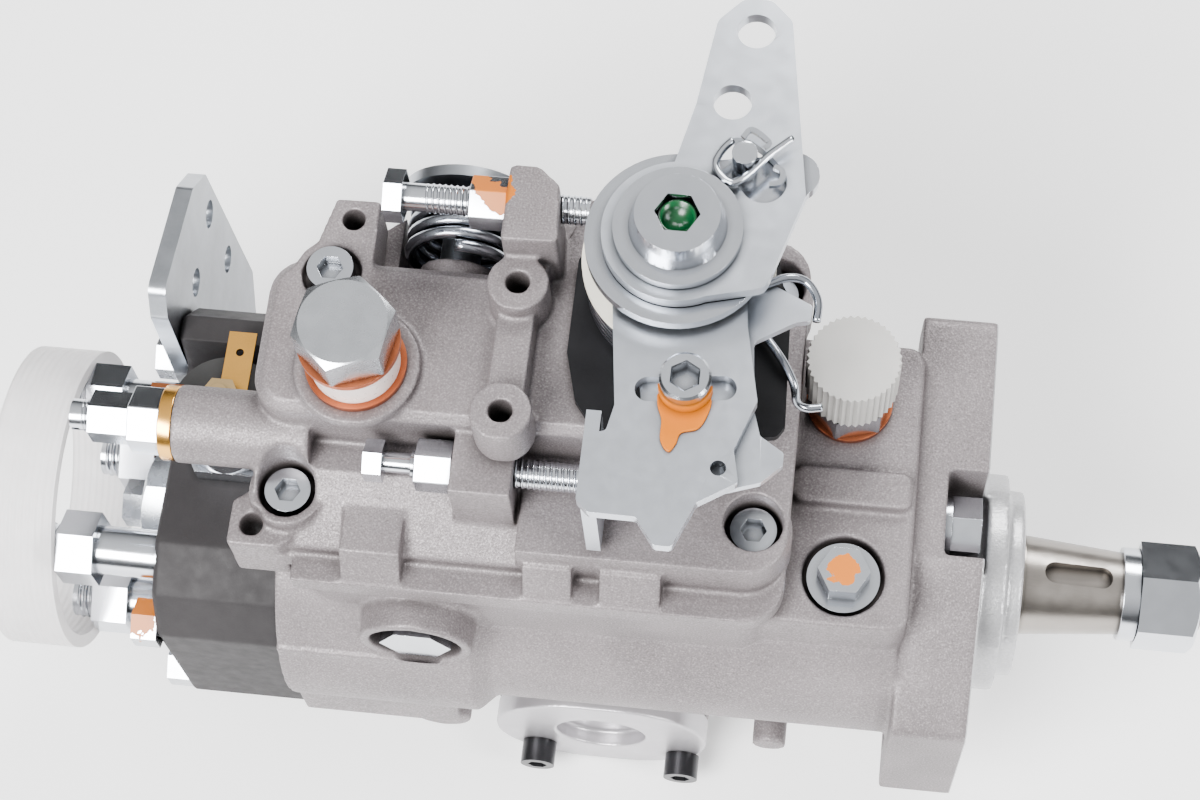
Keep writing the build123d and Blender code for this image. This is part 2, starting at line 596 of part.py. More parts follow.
def cut_cover(solid):
    """Hollow the cover and cut its pockets, bores and tapped holes."""
    hollow = cover_solid(COVER_WALL)
    inside = hollow[0] + hollow[1]
    for (x, y), floor in zip(COVER_SCREWS, COVER_SCREW_FLOORS):
        solid += rod("z", SCREW_POCKET_R + 2, SPLIT_Z, min(floor + 7, DOME_TOP), x, y)
        inside -= rod("z", SCREW_POCKET_R + 2, SPLIT_Z, DOME_TOP, x, y)
    inside -= rod("z", SHAFT_BOSS_R, DOME_TOP - 6, DOME_TOP, *SPEED_AXIS)
    solid -= inside + rod("z", CRANK_R + 0.5, SPLIT_Z, DOME_TOP - 6, *SPEED_AXIS)
    for (x, y), floor in zip(COVER_SCREWS, COVER_SCREW_FLOORS):
        solid -= rod("z", SCREW_POCKET_R, floor, DOME_TOP + 20, x, y)
        solid -= rod("z", 3.2, SPLIT_Z - 1, floor + 1, x, y)
    solid -= rod("z", SPEED_SHAFT_R + SLIDE_FIT, SPLIT_Z, DOME_TOP + 1, *SPEED_AXIS)
    solid -= rod("y", STOP_SHAFT_R + SLIDE_FIT, DOME_Y[1] - 12, DOME_Y[1] + 6, *STOP_AXIS_XZ)
    for y in BOSS_Y:
        solid -= rod("z", M6_CORE_R, BOSS_TOP - 11, BOSS_TOP + 1, BOSS_X, y)
    solid -= rod("z", M6_CORE_R, DOME_TOP - LUG_HOLE_DEPTH, DOME_TOP + 1, *LUG_HOLE_XY)
    solid -= rod("z", M6_CORE_R, CORNER_LUG_Z[0] - 1, CORNER_LUG_Z[1] + 1, *CORNER_LUG_XY)
    solid -= rod("z", M6_CORE_R + 0.5, CORNER_LUG_Z[1], COVER_BASE_TOP + 1, *CORNER_LUG_XY)
    solid -= rod("x", STOP_SCREW_R, BOSS_X - 20, BOSS_X + 20, *IDLE_YZ)
    solid -= rod("x", STOP_SCREW_R, BOSS_X - 20, BOSS_X + 20, *MAX_YZ)
    solid -= rod("x", REAR_SCREW_R, REAR_BOSS_X - 1, DOME_X[0] + COVER_WALL + 2, *REAR_BOSS)
    return solid - rod("z", OVERFLOW_SHANK_R + SLIDE_FIT, DOME_TOP - 12, DOME_TOP + 3, *OVERFLOW_XY)


def head_outline(top):
    """The head seen along the shaft, up to a given height at its far side."""
    corner = (-OUTLET_OFFSET - 10.6, OUTLET_OFFSET + 2.6)
    return [(-30, -42), (-35, -34), (-35, 10), corner, (SOLENOID_XY[1] - 28, SOLENOID_SEAT_Z),
            (SOLENOID_XY[1] + 15, SOLENOID_SEAT_Z), (SOLENOID_XY[1] + 17, top), (33, top),
            (39, 30), (39, -34), (31, -42)]


def distributor_head():
    """The dark head block: chamfered near side, a low seat for the solenoid, a spigot in front."""
    solid = plate_x(head_outline(39), (HEAD_BACK_X, HEAD_X))
    solid = chamfer(solid.faces().sort_by(Axis.X)[0].edges(), 1.0)
    solid += rod("x", BORE_R - 0.05, HEAD_X, HEAD_X + HEAD_SPIGOT_L)
    solid -= rod("x", BARREL_SLEEVE_R, BARREL_SLEEVE_X[0], HEAD_X + HEAD_SPIGOT_L + 1)
    solid -= rod("x", HEAD_PLUG_R, HEAD_BACK_X - 1, BARREL_SLEEVE_X[0])
    for y, z in OUTLETS:
        solid -= rod("x", OUTLET_THREAD_R, HEAD_BACK_X - 1, HEAD_BACK_X + OUTLET_DEPTH, y, z)
    for y, z in HEAD_BOLTS:
        solid -= rod("x", 3.2, HEAD_BACK_X - 1, HEAD_X + 1, y, z)
    return solid - rod("z", SOLENOID_THREAD_R, SOLENOID_SEAT_Z - 8, SOLENOID_SEAT_Z + 1, *SOLENOID_XY)


# Pieces fastened to the castings

def socket_screws():
    """The four cover screws and the two of the timing cover."""
    seat = TIMING_FACE_Y - TIMING_COVER_T
    screws = []
    for spot, floor in zip(COVER_SCREWS, COVER_SCREW_FLOORS):
        screws.append(cap_screw("z", SCREW_HEAD_R, M6_R, floor, SPLIT_Z - 12, spot))
    for x in TIMING_SCREWS_X:
        screws.append(cap_screw("y", TIMING_HEAD_R, M5_R, seat, TIMING_FACE_Y + 11, (x, TIMING_SCREWS_Z)))
    return group(screws)


def cap_screw(axis, head_r, shank_r, seat, end, spot):
    """A socket-head screw whose head stands on its seat, away from the end of its shank."""
    out = 1 if end < seat else -1
    top = seat + out * SCREW_HEAD_H
    solid = rod(axis, head_r, seat, top, *spot) + rod(axis, shank_r, end, seat, *spot)
    return solid - hexagon(axis, head_r, top - out * 3, top + out, *spot)


def distributor_barrel():
    return tube("x", BARREL_SLEEVE_R, PLUNGER_R + SLIDE_FIT, *BARREL_SLEEVE_X)


def head_bolts():
    """Four long screws; the two far ones also clamp the rear bracket."""
    bolts = []
    for y, z in HEAD_BOLTS:
        seat = HEAD_BACK_X - (BRACKET_T if y > 0 else 0)
        bolts.append(hexagon("x", 10.0, seat, seat - 6, y, z) + rod("x", M6_R, seat, HEAD_X + 9, y, z))
    return group(bolts)


def head_plugs():
    """The centre plug of the head and the small bleed screw in it."""
    bleed_seat = HEAD_BACK_X - HEAD_PLUG_H
    plug = hex_head("x", HEAD_PLUG_AF, HEAD_BACK_X, bleed_seat)
    plug += rod("x", HEAD_PLUG_R, BARREL_SLEEVE_X[0] - 0.5, HEAD_BACK_X)
    plug -= rod("x", 3.0, bleed_seat - 1, HEAD_BACK_X)
    bleed = hexagon("x", 10.0, bleed_seat, bleed_seat - 6) + rod("x", 3.0, bleed_seat - 1, HEAD_BACK_X - 1)
    return group([plug, bleed])


def delivery_valve_holders():
    return group(valve_holder(y, z) for y, z in OUTLETS)


def valve_holder(y, z):
    """One outlet union: threaded shank, round body, hexagon and coned tip."""
    solid = rod("x", OUTLET_THREAD_R, HEAD_BACK_X, HEAD_BACK_X + OUTLET_DEPTH, y, z)
    solid += rod("x", OUTLET_BODY_R, OUTLET_HEX_X[1], HEAD_BACK_X, y, z)
    solid += hexagon("x", OUTLET_HEX_AF, OUTLET_HEX_X[1], OUTLET_HEX_X[0], y, z)
    solid += rod("x", OUTLET_TIP_R, OUTLET_TIP_X, OUTLET_HEX_X[0], y, z)
    return solid - rod("x", OUTLET_SEAT_R, OUTLET_TIP_X, OUTLET_TIP_X + 5, y, z, top_radius=1.0)


def valve_ring_cap():
    return tube("x", RING_R, RING_R - RING_WALL, *RING_X)


def stop_solenoid():
    x, y = SOLENOID_XY
    base = SOLENOID_SEAT_Z
    solid = rod("z", SOLENOID_THREAD_R, base - 8, base + 1, x, y) + hexagon("z", 24.0, base, base + 5, x, y)
    solid += rod("z", 12.0, base + 5, base + SOLENOID_H, x, y)
    solid += rod("z", 5.0, base + SOLENOID_H, base + SOLENOID_H + 2.5, x, y)
    return solid - rod("z", ARMATURE_R + SLIDE_FIT, base - 9, base + 14, x, y)


def solenoid_armature():
    """The sprung plunger of the solenoid, with its valve tip downwards."""
    x, y = SOLENOID_XY
    low = SOLENOID_SEAT_Z - 7.5
    tip = rod("z", 2.0, low, low + 3, x, y, top_radius=ARMATURE_R)
    return tip + rod("z", ARMATURE_R, low + 3, low + 19, x, y)


def solenoid_terminal():
    """The stud with its nut, spade blade and connecting strap."""
    x, y = SOLENOID_XY
    base = SOLENOID_SEAT_Z + SOLENOID_H + 2.5
    solid = rod("z", 2.0, base, base + 6, x, y) + hexagon("z", 8.0, base + 0.8, base + 4, x, y)
    blade = block((x - 1.0, x + 5.3), (y + 2, y + SPADE_L), (base, base + 0.8))
    blade -= rod("z", 0.9, base - 1, base + 2, x + 2.15, y + SPADE_L - 5)
    strap = block((HEAD_BACK_X - 2, x), (y - 3, y + 3), (base, base + 0.8))
    return solid + blade + strap


def full_load_screw():
    """The rear adjuster: a long shank, a hexagon sleeve and a slotted tip."""
    y, z = REAR_BOSS
    nut_end = REAR_BOSS_X - REAR_WASHER_T - REAR_NUT_T
    solid = rod("x", REAR_SCREW_R, nut_end - 2, DOME_X[0] + COVER_WALL + 1, y, z)
    tip = nut_end - REAR_SLEEVE_L
    solid += hexagon("x", 10.0, nut_end, tip, y, z)
    end = tip - REAR_TIP_L
    solid += rod("x", 3.4, end, tip, y, z)
    return solid - block((end - 1, end + 2), (y - 4, y + 4), (z - 0.6, z + 0.6))


def rear_bracket():
    """The support plate behind the head, reaching out to the far side."""
    near = OUTLET_OFFSET + OUTLET_BODY_R + 1
    points = [(near, 4), (near + 2, 50), (near + 6, 57), (60, 50), (68, 42), (72, -20), (58, -44),
              (near + 1, -44)]
    solid = plate_x(points, (HEAD_BACK_X - BRACKET_T, HEAD_BACK_X), 3)
    for y, z in BRACKET_HOLES:
        solid -= rod("x", BRACKET_HOLE_R, HEAD_BACK_X - BRACKET_T - 1, HEAD_BACK_X + 1, y, z)
    for y, z in HEAD_BOLTS:
        if y > 0:
            solid -= rod("x", 3.0, HEAD_BACK_X - BRACKET_T - 1, HEAD_BACK_X + 1, y, z)
    return solid


def overflow_bolt():
    x, y = OVERFLOW_XY
    seat = OVERFLOW_SEAT_Z + 2 * OVERFLOW_WASHER_T + OVERFLOW_COLLAR_H
    shank = rod("z", OVERFLOW_SHANK_R, DOME_TOP - 8, seat, x, y)
    return shank + hex_head("z", OVERFLOW_AF, seat, seat + 9, x, y, OVERFLOW_TURN)


def overflow_washers():
    upper = OVERFLOW_SEAT_Z + OVERFLOW_WASHER_T + OVERFLOW_COLLAR_H
    return group(tube("z", OVERFLOW_BOSS_R - 2.7, OVERFLOW_SHANK_R, z, z + OVERFLOW_WASHER_T, *OVERFLOW_XY)
                 for z in (OVERFLOW_SEAT_Z, upper))


def overflow_collar():
    low = OVERFLOW_SEAT_Z + OVERFLOW_WASHER_T
    return tube("z", OVERFLOW_BOSS_R - 4, OVERFLOW_SHANK_R, low, low + OVERFLOW_COLLAR_H, *OVERFLOW_XY)


def adjusting_screws():
    """The idle screw, with its waisted neck, and the maximum-speed screw."""
    y, z = IDLE_YZ
    neck_end = IDLE_HEAD_X + 10
    idle = hexagon("x", 8.0, IDLE_HEAD_X + 4, IDLE_HEAD_X, y, z)
    idle += rod("x", 2.2, IDLE_HEAD_X + 3, neck_end, y, z)
    idle += rod("x", STOP_SCREW_R, neck_end, TAB_X - RUN, y, z)
    y, z = MAX_YZ
    top = hexagon("x", 10.0, MAX_HEAD_X + 4, MAX_HEAD_X, y, z)
    top += rod("x", STOP_SCREW_R, MAX_HEAD_X + 3, MAX_TIP_X, y, z)
    return group([idle, top])


def adjusting_locknuts():
    """Locknuts of the idle, maximum-speed and rear adjusters, and the rear one's washer."""
    nuts = []
    for face, spot in ((IDLE_BLOCK_X[0], IDLE_YZ), (BOSS_X - 4, MAX_YZ)):
        nuts.append(hexagon("x", 10.0, face - 8, face, *spot) - rod("x", STOP_SCREW_R, -200, 0, *spot))
    seat = REAR_BOSS_X - REAR_WASHER_T
    bore = rod("x", REAR_SCREW_R, -220, 0, *REAR_BOSS)
    nuts.append(hexagon("x", REAR_NUT_AF, seat - REAR_NUT_T, seat, *REAR_BOSS) - bore)
    nuts.append(rod("x", REAR_BOSS_R - 0.3, seat, REAR_BOSS_X, *REAR_BOSS) - bore)
    return group(nuts)


def transport_cap():
    """The knurled plastic cap on the deck fitting."""
    ridges = [at_angle(CAP_R - 0.6 * (step % 2), step * 180 / CAP_RIDGES) for step in range(2 * CAP_RIDGES)]
    return Pos(*FITTING_XY, FITTING_TOP) * extrude(Polygon(*ridges, align=None), CAP_H)


def housing_plugs():
    """The deck plug, the side plug, the fitting under the plastic cap and the flange's locking screw."""
    x, y = DECK_PLUG_XY
    seat = DECK_Z - 4
    deck = rod("z", DECK_PLUG_SEAT_R - 1, seat, seat + 2.5, x, y)
    deck += hexagon("z", 10.0, seat + 2.5, seat + 8, x, y)
    deck += rod("z", 5.0, seat - 8, seat + 1, x, y)
    seat = SIDE_PLUG_Y + SIDE_RECESS
    side = hexagon("y", SIDE_HEX_AF, SIDE_PLUG_Y, seat, *SIDE_PLUG_XZ)
    side += rod("y", SIDE_THREAD_R - SLIDE_FIT, seat, seat + 5, *SIDE_PLUG_XZ)
    x, y = FITTING_XY
    fitting = rod("z", 4.5 - SLIDE_FIT, DECK_Z - 9, DECK_Z + 1, x, y)
    fitting += rod("z", 9.6, DECK_Z, DECK_Z + 1.5, x, y)
    fitting += hexagon("z", 17.0, DECK_Z + 1.5, FITTING_TOP - 1, x, y, 15)
    fitting += rod("z", 6.0, DECK_Z, FITTING_TOP, x, y)
    lock = rod("x", 7.3, LOCK_BOLT_X, LOCK_BOLT_X + 1.6, *LOCK_BOLT_YZ)
    lock += hexagon("x", 13.0, LOCK_BOLT_X + 1.6, -0.8, *LOCK_BOLT_YZ)
    lock += rod("x", 3.0 - SLIDE_FIT, LOCK_BOLT_X - LOCK_BOLT_L + 1, LOCK_BOLT_X, *LOCK_BOLT_YZ)
    return group([deck, side, fitting, lock])


def timing_cover():
    """The oval cover of the timing bore, dished in the middle."""
    face = TIMING_FACE_Y - TIMING_COVER_T
    solid = timing_oval(face, TIMING_COVER_T)
    solid -= rod("y", TIMING_R - 2, face - 1, face + 4, TIMING_X, TIMING_Z)
    for x in TIMING_SCREWS_X:
        solid -= rod("y", 2.7, face - 1, TIMING_FACE_Y + 1, x, TIMING_SCREWS_Z)
    return solid


# Shaft line

def shaft_bush():
    end = PILOT_L + STEP_L - SEAL_L - 0.2
    return tube("x", JOURNAL_R + BUSH_WALL, JOURNAL_R + SHAFT_FIT, PUMP_X[1], end)


def shaft_seal():
    end = PILOT_L + STEP_L - 0.5
    return tube("x", JOURNAL_R + BUSH_WALL, JOURNAL_R + RUN, end - SEAL_L + 0.5, end)


def drive_shaft():
    """Journal, coned and threaded nose, slim rear part and two driving claws."""
    solid = rod("x", JOURNAL_R, PUMP_X[1] + RUN, CONE_X0)
    solid += rod("x", CONE_R0, CONE_X0, CONE_X1, top_radius=CONE_R1)
    solid += rod("x", THREAD_R, CONE_X1, SHAFT_END_X)
    solid += rod("x", SHAFT_REAR_R, GEAR_X[0], PUMP_X[1] + RUN)
    solid += rod("x", CLAW_R, CROSS_X[1], GEAR_X[0])
    for side in (1, -1):
        solid += block((CROSS_X[0], CROSS_X[1] + 0.5), (-4, 4), sorted((side * 7, side * CLAW_R * 0.9)))
    return solid - block((KEY_X[0], KEY_X[1]), (-KEY_W / 2, KEY_W / 2), (CONE_R1 - 2.5, CONE_R0 + 1), 2.4)


def shaft_washer():
    return tube("x", WASHER_R, THREAD_R, CONE_X1, CONE_X1 + WASHER_T)


def shaft_nut():
    start = CONE_X1 + WASHER_T
    return hex_head("x", NUT_AF, start, SHAFT_END_X - 1) - rod("x", THREAD_R, start - 1, SHAFT_END_X)


def pump_ring():
    """The cam ring of the vane pump: its bore is off centre."""
    cavity = rod("x", PUMP_CAVITY_R, PUMP_X[0] - 1, PUMP_X[1] + 1, 0, PUMP_OFFSET)
    return rod("x", PUMP_RING_R, *PUMP_X) - cavity


def pump_cover_plate():
    return tube("x", PUMP_RING_R, SHAFT_REAR_R + RUN, PUMP_X[0] - PUMP_PLATE_T, PUMP_X[0])


def vane_rotor():
    solid = tube("x", ROTOR_R, SHAFT_REAR_R, PUMP_X[0] + RUN / 3, PUMP_X[1] - RUN / 3)
    for angle in VANE_ANGLES:
        slot = block((PUMP_X[0], PUMP_X[1]), (-VANE_T / 2, VANE_T / 2), (SHAFT_REAR_R + 1.5, ROTOR_R + 1))
        solid -= Rot(angle, 0, 0) * slot
    return solid


def pump_vanes():
    reach = PUMP_CAVITY_R - PUMP_OFFSET - SLIDE_FIT
    length = (PUMP_X[0] + RUN / 3, PUMP_X[1] - RUN / 3)
    vane = block(length, (-VANE_T / 2, VANE_T / 2), (SHAFT_REAR_R + 2, reach))
    return group(Rot(angle, 0, 0) * vane for angle in VANE_ANGLES)


def drive_gear():
    blank = extrude(gear(GEAR_MODULE, DRIVE_TEETH, DRIVE_GEAR_TURN), GEAR_X[1] - GEAR_X[0])
    return stand(blank, "x", GEAR_X[0], 0, 0) - rod("x", SHAFT_REAR_R, GEAR_X[0] - 1, GEAR_X[1] + 1)


def cross_disc():
    """The floating disc between the shaft's claws and the cam plate's claws."""
    solid = tube("x", CLAW_R, 5.0, *CROSS_X)
    for turn in (0, 90, 180, 270):
        solid -= Rot(turn, 0, 0) * block((CROSS_X[0] - 1, CROSS_X[1] + 1), (-4, 4), (7, CLAW_R + 1))
    return solid


def cam_plate():
    """The face cam: four lobes towards the rollers and two claws through the roller ring."""
    face = ROLLER_FRONT_X - RUN - CAM_LIFT
    solid = rod("x", ROLLER_RING_R - 0.6, face - CAM_PLATE_T, face)
    track = tube("x", ROLLER_RING_R - 0.6, CAM_TRACK_R, face - 1, face + CAM_LIFT)
    for turn in (0, 90, 180, 270):
        lobe = rod("z", CAM_LOBE_R, 0, ROLLER_RING_R, face + CAM_LIFT - CAM_LOBE_R)
        solid += Rot(turn, 0, 0) * lobe & track
    for side in (1, -1):
        claw = block((face - 1, CROSS_X[1]), sorted((side * 7, side * CLAW_R * 0.9)), (-4, 4))
        solid += claw
    return solid


def plunger():
    back = ROLLER_FRONT_X - RUN - CAM_LIFT - CAM_PLATE_T
    return rod("x", PLUNGER_R, PLUNGER_END_X, back) + rod("x", 9.5, back - FOOT_T, back)


def spring_yoke():
    """The bridge that carries both plunger springs behind the plunger's foot."""
    front = CAM_BACK_X - FOOT_T - 0.5
    solid = block((front - YOKE_T, front), (-PLUNGER_SPRING_Y - 6, PLUNGER_SPRING_Y + 6), (-9, 9))
    return solid - rod("x", PLUNGER_R + 0.4, front - 10, front + 1)


def plunger_springs():
    start = HEAD_X + HEAD_SPIGOT_L
    end = CAM_BACK_X - FOOT_T - 0.5 - YOKE_T
    spring = coil(5.0, 1.6, 4, end - start - RUN)
    return group(stand(spring, "x", start, y, 0) for y in (-PLUNGER_SPRING_Y, PLUNGER_SPRING_Y))


def spill_sleeve():
    solid = tube("x", SPILL_R, PLUNGER_R + SLIDE_FIT, *SPILL_X)
    return solid - rod("z", BALL_R + 0.6, PLUNGER_R + 0.9, SPILL_R + 1, BALL_X, 0)


def roller_ring():
    """The ring that carries four rollers and the pin down to the timing piston."""
    solid = tube("x", ROLLER_RING_R, CAM_TRACK_R - 0.5, *ROLLER_RING_X)
    for angle in ROLLER_ANGLES:
        half = ROLLER_R + 0.4
        gap = block((ROLLER_X - half, ROLLER_X + half), (-half, half), (CAM_TRACK_R - 2, ROLLER_RING_R - 1.5))
        solid -= Rot(angle, 0, 0) * gap & rod("x", 60, ROLLER_RING_X[0] - 1, ROLLER_RING_X[1] - 2)
    return solid + rod("z", TIMING_PIN_R, TIMING_Z + 1, -CAM_TRACK_R - 1, TIMING_X, 0)


def cam_rollers():
    high = ROLLER_RING_R - 1.8
    rollers = []
    for angle in ROLLER_ANGLES:
        roller = rod("z", ROLLER_R, high - ROLLER_L, high, ROLLER_X, 0)
        rollers.append(Rot(angle, 0, 0) * roller)
    return group(rollers)


def timing_piston():
    solid = rod("y", TIMING_R, TIMING_PISTON_Y[0], TIMING_PISTON_Y[1], TIMING_X, TIMING_Z)
    slot = block((TIMING_X - TIMING_PIN_R - 0.4, TIMING_X + TIMING_PIN_R + 0.4),
                 (-TIMING_PIN_R - PIN_TILT, TIMING_PIN_R + 0.5), (TIMING_Z - 2, TIMING_Z + TIMING_R + 1))
    spring_seat = rod("y", TIMING_R - 4, TIMING_PISTON_Y[1] - 6, TIMING_PISTON_Y[1] + 1, TIMING_X, TIMING_Z)
    return solid - slot - spring_seat


def timing_spring():
    start = TIMING_PISTON_Y[1] - 6
    return stand(coil(6.5, 1.8, 3, TIMING_BACK_Y - WALL - start - 2 * RUN), "y", start, TIMING_X, TIMING_Z)


# Governor

def governor_shaft():
    return rod("x", GOVERNOR_SHAFT_R, SLEEVE_X[0] + 4, GOVERNOR_SHAFT_END, GOVERNOR_Y, GOVERNOR_Z)


def governor_gear():
    """The governor's gear with its disc, hub and the four posts between the weights."""
    outline = gear(GEAR_MODULE, GOVERNOR_TEETH, GOVERNOR_GEAR_TURN)
    solid = stand(extrude(outline, GEAR_X[1] - GEAR_X[0]), "x", GEAR_X[0], GOVERNOR_Y, GOVERNOR_Z)
    solid += rod("x", 17.5, GEAR_X[0] - 2, GEAR_X[0], GOVERNOR_Y, GOVERNOR_Z)
    for angle in (45, 135, 225, 315):
        y, z = at_angle(15.0, angle)
        solid += rod("x", 1.8, WEIGHT_PIVOT_X - 4, GEAR_X[0], GOVERNOR_Y + y, GOVERNOR_Z + z)
    bore = rod("x", GOVERNOR_SHAFT_R + SLIDE_FIT, GEAR_X[0] - 9, GEAR_X[1] + 1, GOVERNOR_Y, GOVERNOR_Z)
    return solid - bore


def flyweight(angle):
    """A rectangular weight with the toe that pushes the sleeve."""
    near = WEIGHT_PIVOT_X
    solid = block((near - WEIGHT_L, near), (-WEIGHT_HALF, WEIGHT_HALF), (9.0, 15.5))
    solid += block((near - 4.5, near - 1), (-3, 3), (5.0, 9.5))
    solid += rod("y", 1.4, -WEIGHT_HALF - 1.2, WEIGHT_HALF + 1.2, near - 1, 13.0)
    return Pos(0, GOVERNOR_Y, GOVERNOR_Z) * Rot(angle, 0, 0) * solid


def governor_sleeve():
    """The sliding sleeve: a collar for the weights' toes and a coned nose on the lever."""
    solid = rod("x", NOSE_R, SLEEVE_X[0], SLEEVE_X[0] + 2, GOVERNOR_Y, GOVERNOR_Z, top_radius=SLEEVE_R)
    solid += rod("x", SLEEVE_R, SLEEVE_X[0] + 2, SLEEVE_X[1] - 2, GOVERNOR_Y, GOVERNOR_Z)
    solid += rod("x", 8.4, SLEEVE_X[1] - 2, SLEEVE_X[1], GOVERNOR_Y, GOVERNOR_Z)
    bore_r = GOVERNOR_SHAFT_R + SLIDE_FIT
    return solid - rod("x", bore_r, SLEEVE_X[0] + 3, SLEEVE_X[1] + 1, GOVERNOR_Y, GOVERNOR_Z)


def governor_lever():
    """The lever from the sleeve and spring down to the ball in the spill sleeve."""
    x, z = LEVER_PIVOT_XZ
    face = SLEEVE_X[0] - RUN
    near, far = GOVERNOR_Y - 8, GOVERNOR_Y + 8
    eye_y, eye_z = SPRING_YZ
    plate = [(near, z + 2), (far, z + 2), (far, GOVERNOR_Z + 6), (eye_y + 4, eye_z - 4),
             (eye_y + 4, eye_z + 4), (eye_y - 4, eye_z + 4), (near, GOVERNOR_Z + 8)]
    solid = plate_x(plate, (face - LEVER_T, face))
    solid += rod("y", 2.5, CHAMBER_Y[0] + WALL + RUN, CHAMBER_Y[1] - WALL - RUN, x, z)
    solid += block((x - 3.5, face), (-4, far), (z - 0.5, z + 6))
    low = SPILL_R + 1
    fork = Polygon((x - 3, z + 3), (x + 3, z + 3), (BALL_X + 2, low), (BALL_X - 2, low), align=None)
    solid += Pos(0, 4, 0) * (Plane.XZ * extrude(fork, 8, dir=(0, 0, 1)))
    return solid + rod("z", BALL_R, BALL_Z - 1.8, SPILL_R + 3, BALL_X, 0)


def governor_spring():
    y, z = SPRING_YZ
    start = SLEEVE_X[0] - RUN + 0.2
    return stand(coil(2.6, 1.1, 6, SPRING_PIN_X - 1.7 - start), "x", start, y, z)


# Levers on the cover

def speed_lever_shaft():
    """The upright control shaft with its collars, the plate and pin under the arm, and the crank below."""
    x, y = SPEED_AXIS
    plate_top = LEVER_PLATE_Z + LEVER_PLATE_T
    under = (ARM_Z - RUN - UNDER_PLATE_T, ARM_Z - RUN)
    solid = rod("z", SPEED_SHAFT_R, SHAFT_LOW_Z, ARM_Z + ARM_T + 2, x, y)
    solid += rod("z", 13.5, plate_top, plate_top + 1.2, x, y) + rod("z", 11.5, plate_top, under[1], x, y)
    solid += arm(SPEED_AXIS, UNDER_PLATE_EAR, UNDER_PLATE_R, 5.0, under)
    solid += rod("z", PIN_SIZE_R, under[0], PIN_TOP, *arm_pin())
    solid += rod("z", CRANK_R, SHAFT_LOW_Z, SHAFT_LOW_Z + 2, x, y)
    return solid + rod("z", 1.5, SPRING_YZ[1] - 3, SHAFT_LOW_Z + 1, SPRING_PIN_X, SPRING_YZ[0])


def arm_pin():
    """The place of the pin that takes the arm along."""
    x, y = at_angle(PIN_R, PIN_ANGLE)
    return SPEED_AXIS[0] + x, SPEED_AXIS[1] + y


def speed_lever_plate():
    """Two pressed plates clamped together: the upper has the slot and the bent stop tab."""
    z = (LEVER_PLATE_Z, LEVER_PLATE_Z + LEVER_PLATE_T)
    solid = plate_z(UPPER_PLATE, z, 1.0) + rod("z", LEVER_HUB_R, z[0], z[1], *SPEED_AXIS)
    solid += block((TAB_X, TAB_X + LEVER_PLATE_T), TAB_Y, (TAB_LOW_Z, z[1]))
    solid -= arm(*PLATE_SLOT, PLATE_SLOT_R, PLATE_SLOT_R, (z[0] - 1, z[1] + 1))
    solid -= rod("z", 1.6, z[0] - 1, z[1] + 1, *PLATE_HOLE)
    low = (z[0] - LOWER_PLATE_T, z[0])
    lower = plate_z(LOWER_PLATE, low, 1.0) + rod("z", LEVER_HUB_R, low[0], low[1], *SPEED_AXIS)
    bore = rod("z", SPEED_SHAFT_R, low[0] - 1, z[1] + 1, *SPEED_AXIS)
    return group([solid - bore, lower - bore])


def throttle_arm():
    """The upper two-hole lever that the cable or rod pulls, with a curved window round the pin."""
    z = (ARM_Z, ARM_Z + ARM_T)
    solid = plate_z(ARM_OUTLINE, z, 3.0) + rod("z", WINDOW_R[0], z[0], z[1], *SPEED_AXIS)
    for spot in (ARM_END, ARM_HOLE):
        solid -= rod("z", ARM_HOLE_R, z[0] - 1, z[1] + 1, *spot)
    solid -= arm_window((z[0] - 1, z[1] + 1))
    return solid - rod("z", SPEED_SHAFT_R + SLIDE_FIT, z[0] - 1, z[1] + 1, *SPEED_AXIS)


def arm_window(z):
    """A ring sector with round ends, cut round the hub."""
    middle, half = (WINDOW_R[0] + WINDOW_R[1]) / 2, (WINDOW_R[1] - WINDOW_R[0]) / 2
    wedge = Polygon((0, 0), *[at_angle(2 * WINDOW_R[1], angle) for angle in WINDOW_ANGLES], align=None)
    outline = (Circle(WINDOW_R[1]) - Circle(WINDOW_R[0])) & wedge
    for angle in WINDOW_ANGLES:
        outline += Pos(*at_angle(middle, angle)) * Circle(half)
    return Pos(*SPEED_AXIS, z[0]) * extrude(outline, z[1] - z[0])


def lever_cap():
    """The stepped and coned cap on the control shaft, with a hexagon socket."""
    x, y = SPEED_AXIS
    low = ARM_Z + ARM_T + RUN
    solid = rod("z", 13.1, low, low + 2, x, y) + rod("z", 10.4, low, CAP_TOP, x, y, top_radius=8.6)
    solid -= rod("z", SPEED_SHAFT_R, low - 1, ARM_Z + ARM_T + 2, x, y)
    return solid - hexagon("z", 8.0, CAP_TOP - 4.5, CAP_TOP + 1, x, y)


def spring_drum():
    """The pale drum under the levers that the return spring is wound on, with its rim."""
    top = LEVER_PLATE_Z - LOWER_PLATE_T - RUN
    solid = rod("z", DRUM_R, DOME_TOP + SHIELD_T, top, *SPEED_AXIS)
    solid += rod("z", DRUM_RIM_R, top - DRUM_RIM_T, top, *SPEED_AXIS)
    return solid - rod("z", SPEED_SHAFT_R + RUN, DOME_TOP, top + 1, *SPEED_AXIS)


def return_spring():
    low = DOME_TOP + SHIELD_T + 0.5
    return Pos(*SPEED_AXIS, low) * coil(DRUM_R + 2.8, 2.0, 4, 12.5)


def shield_plate():
    """The dark plate that the drum and the spring stand on."""
    solid = plate_z(SHIELD_OUTLINE, (DOME_TOP, DOME_TOP + SHIELD_T), 2)
    return solid - rod("z", SPEED_SHAFT_R + RUN, DOME_TOP - 1, DOME_TOP + 4, *SPEED_AXIS)


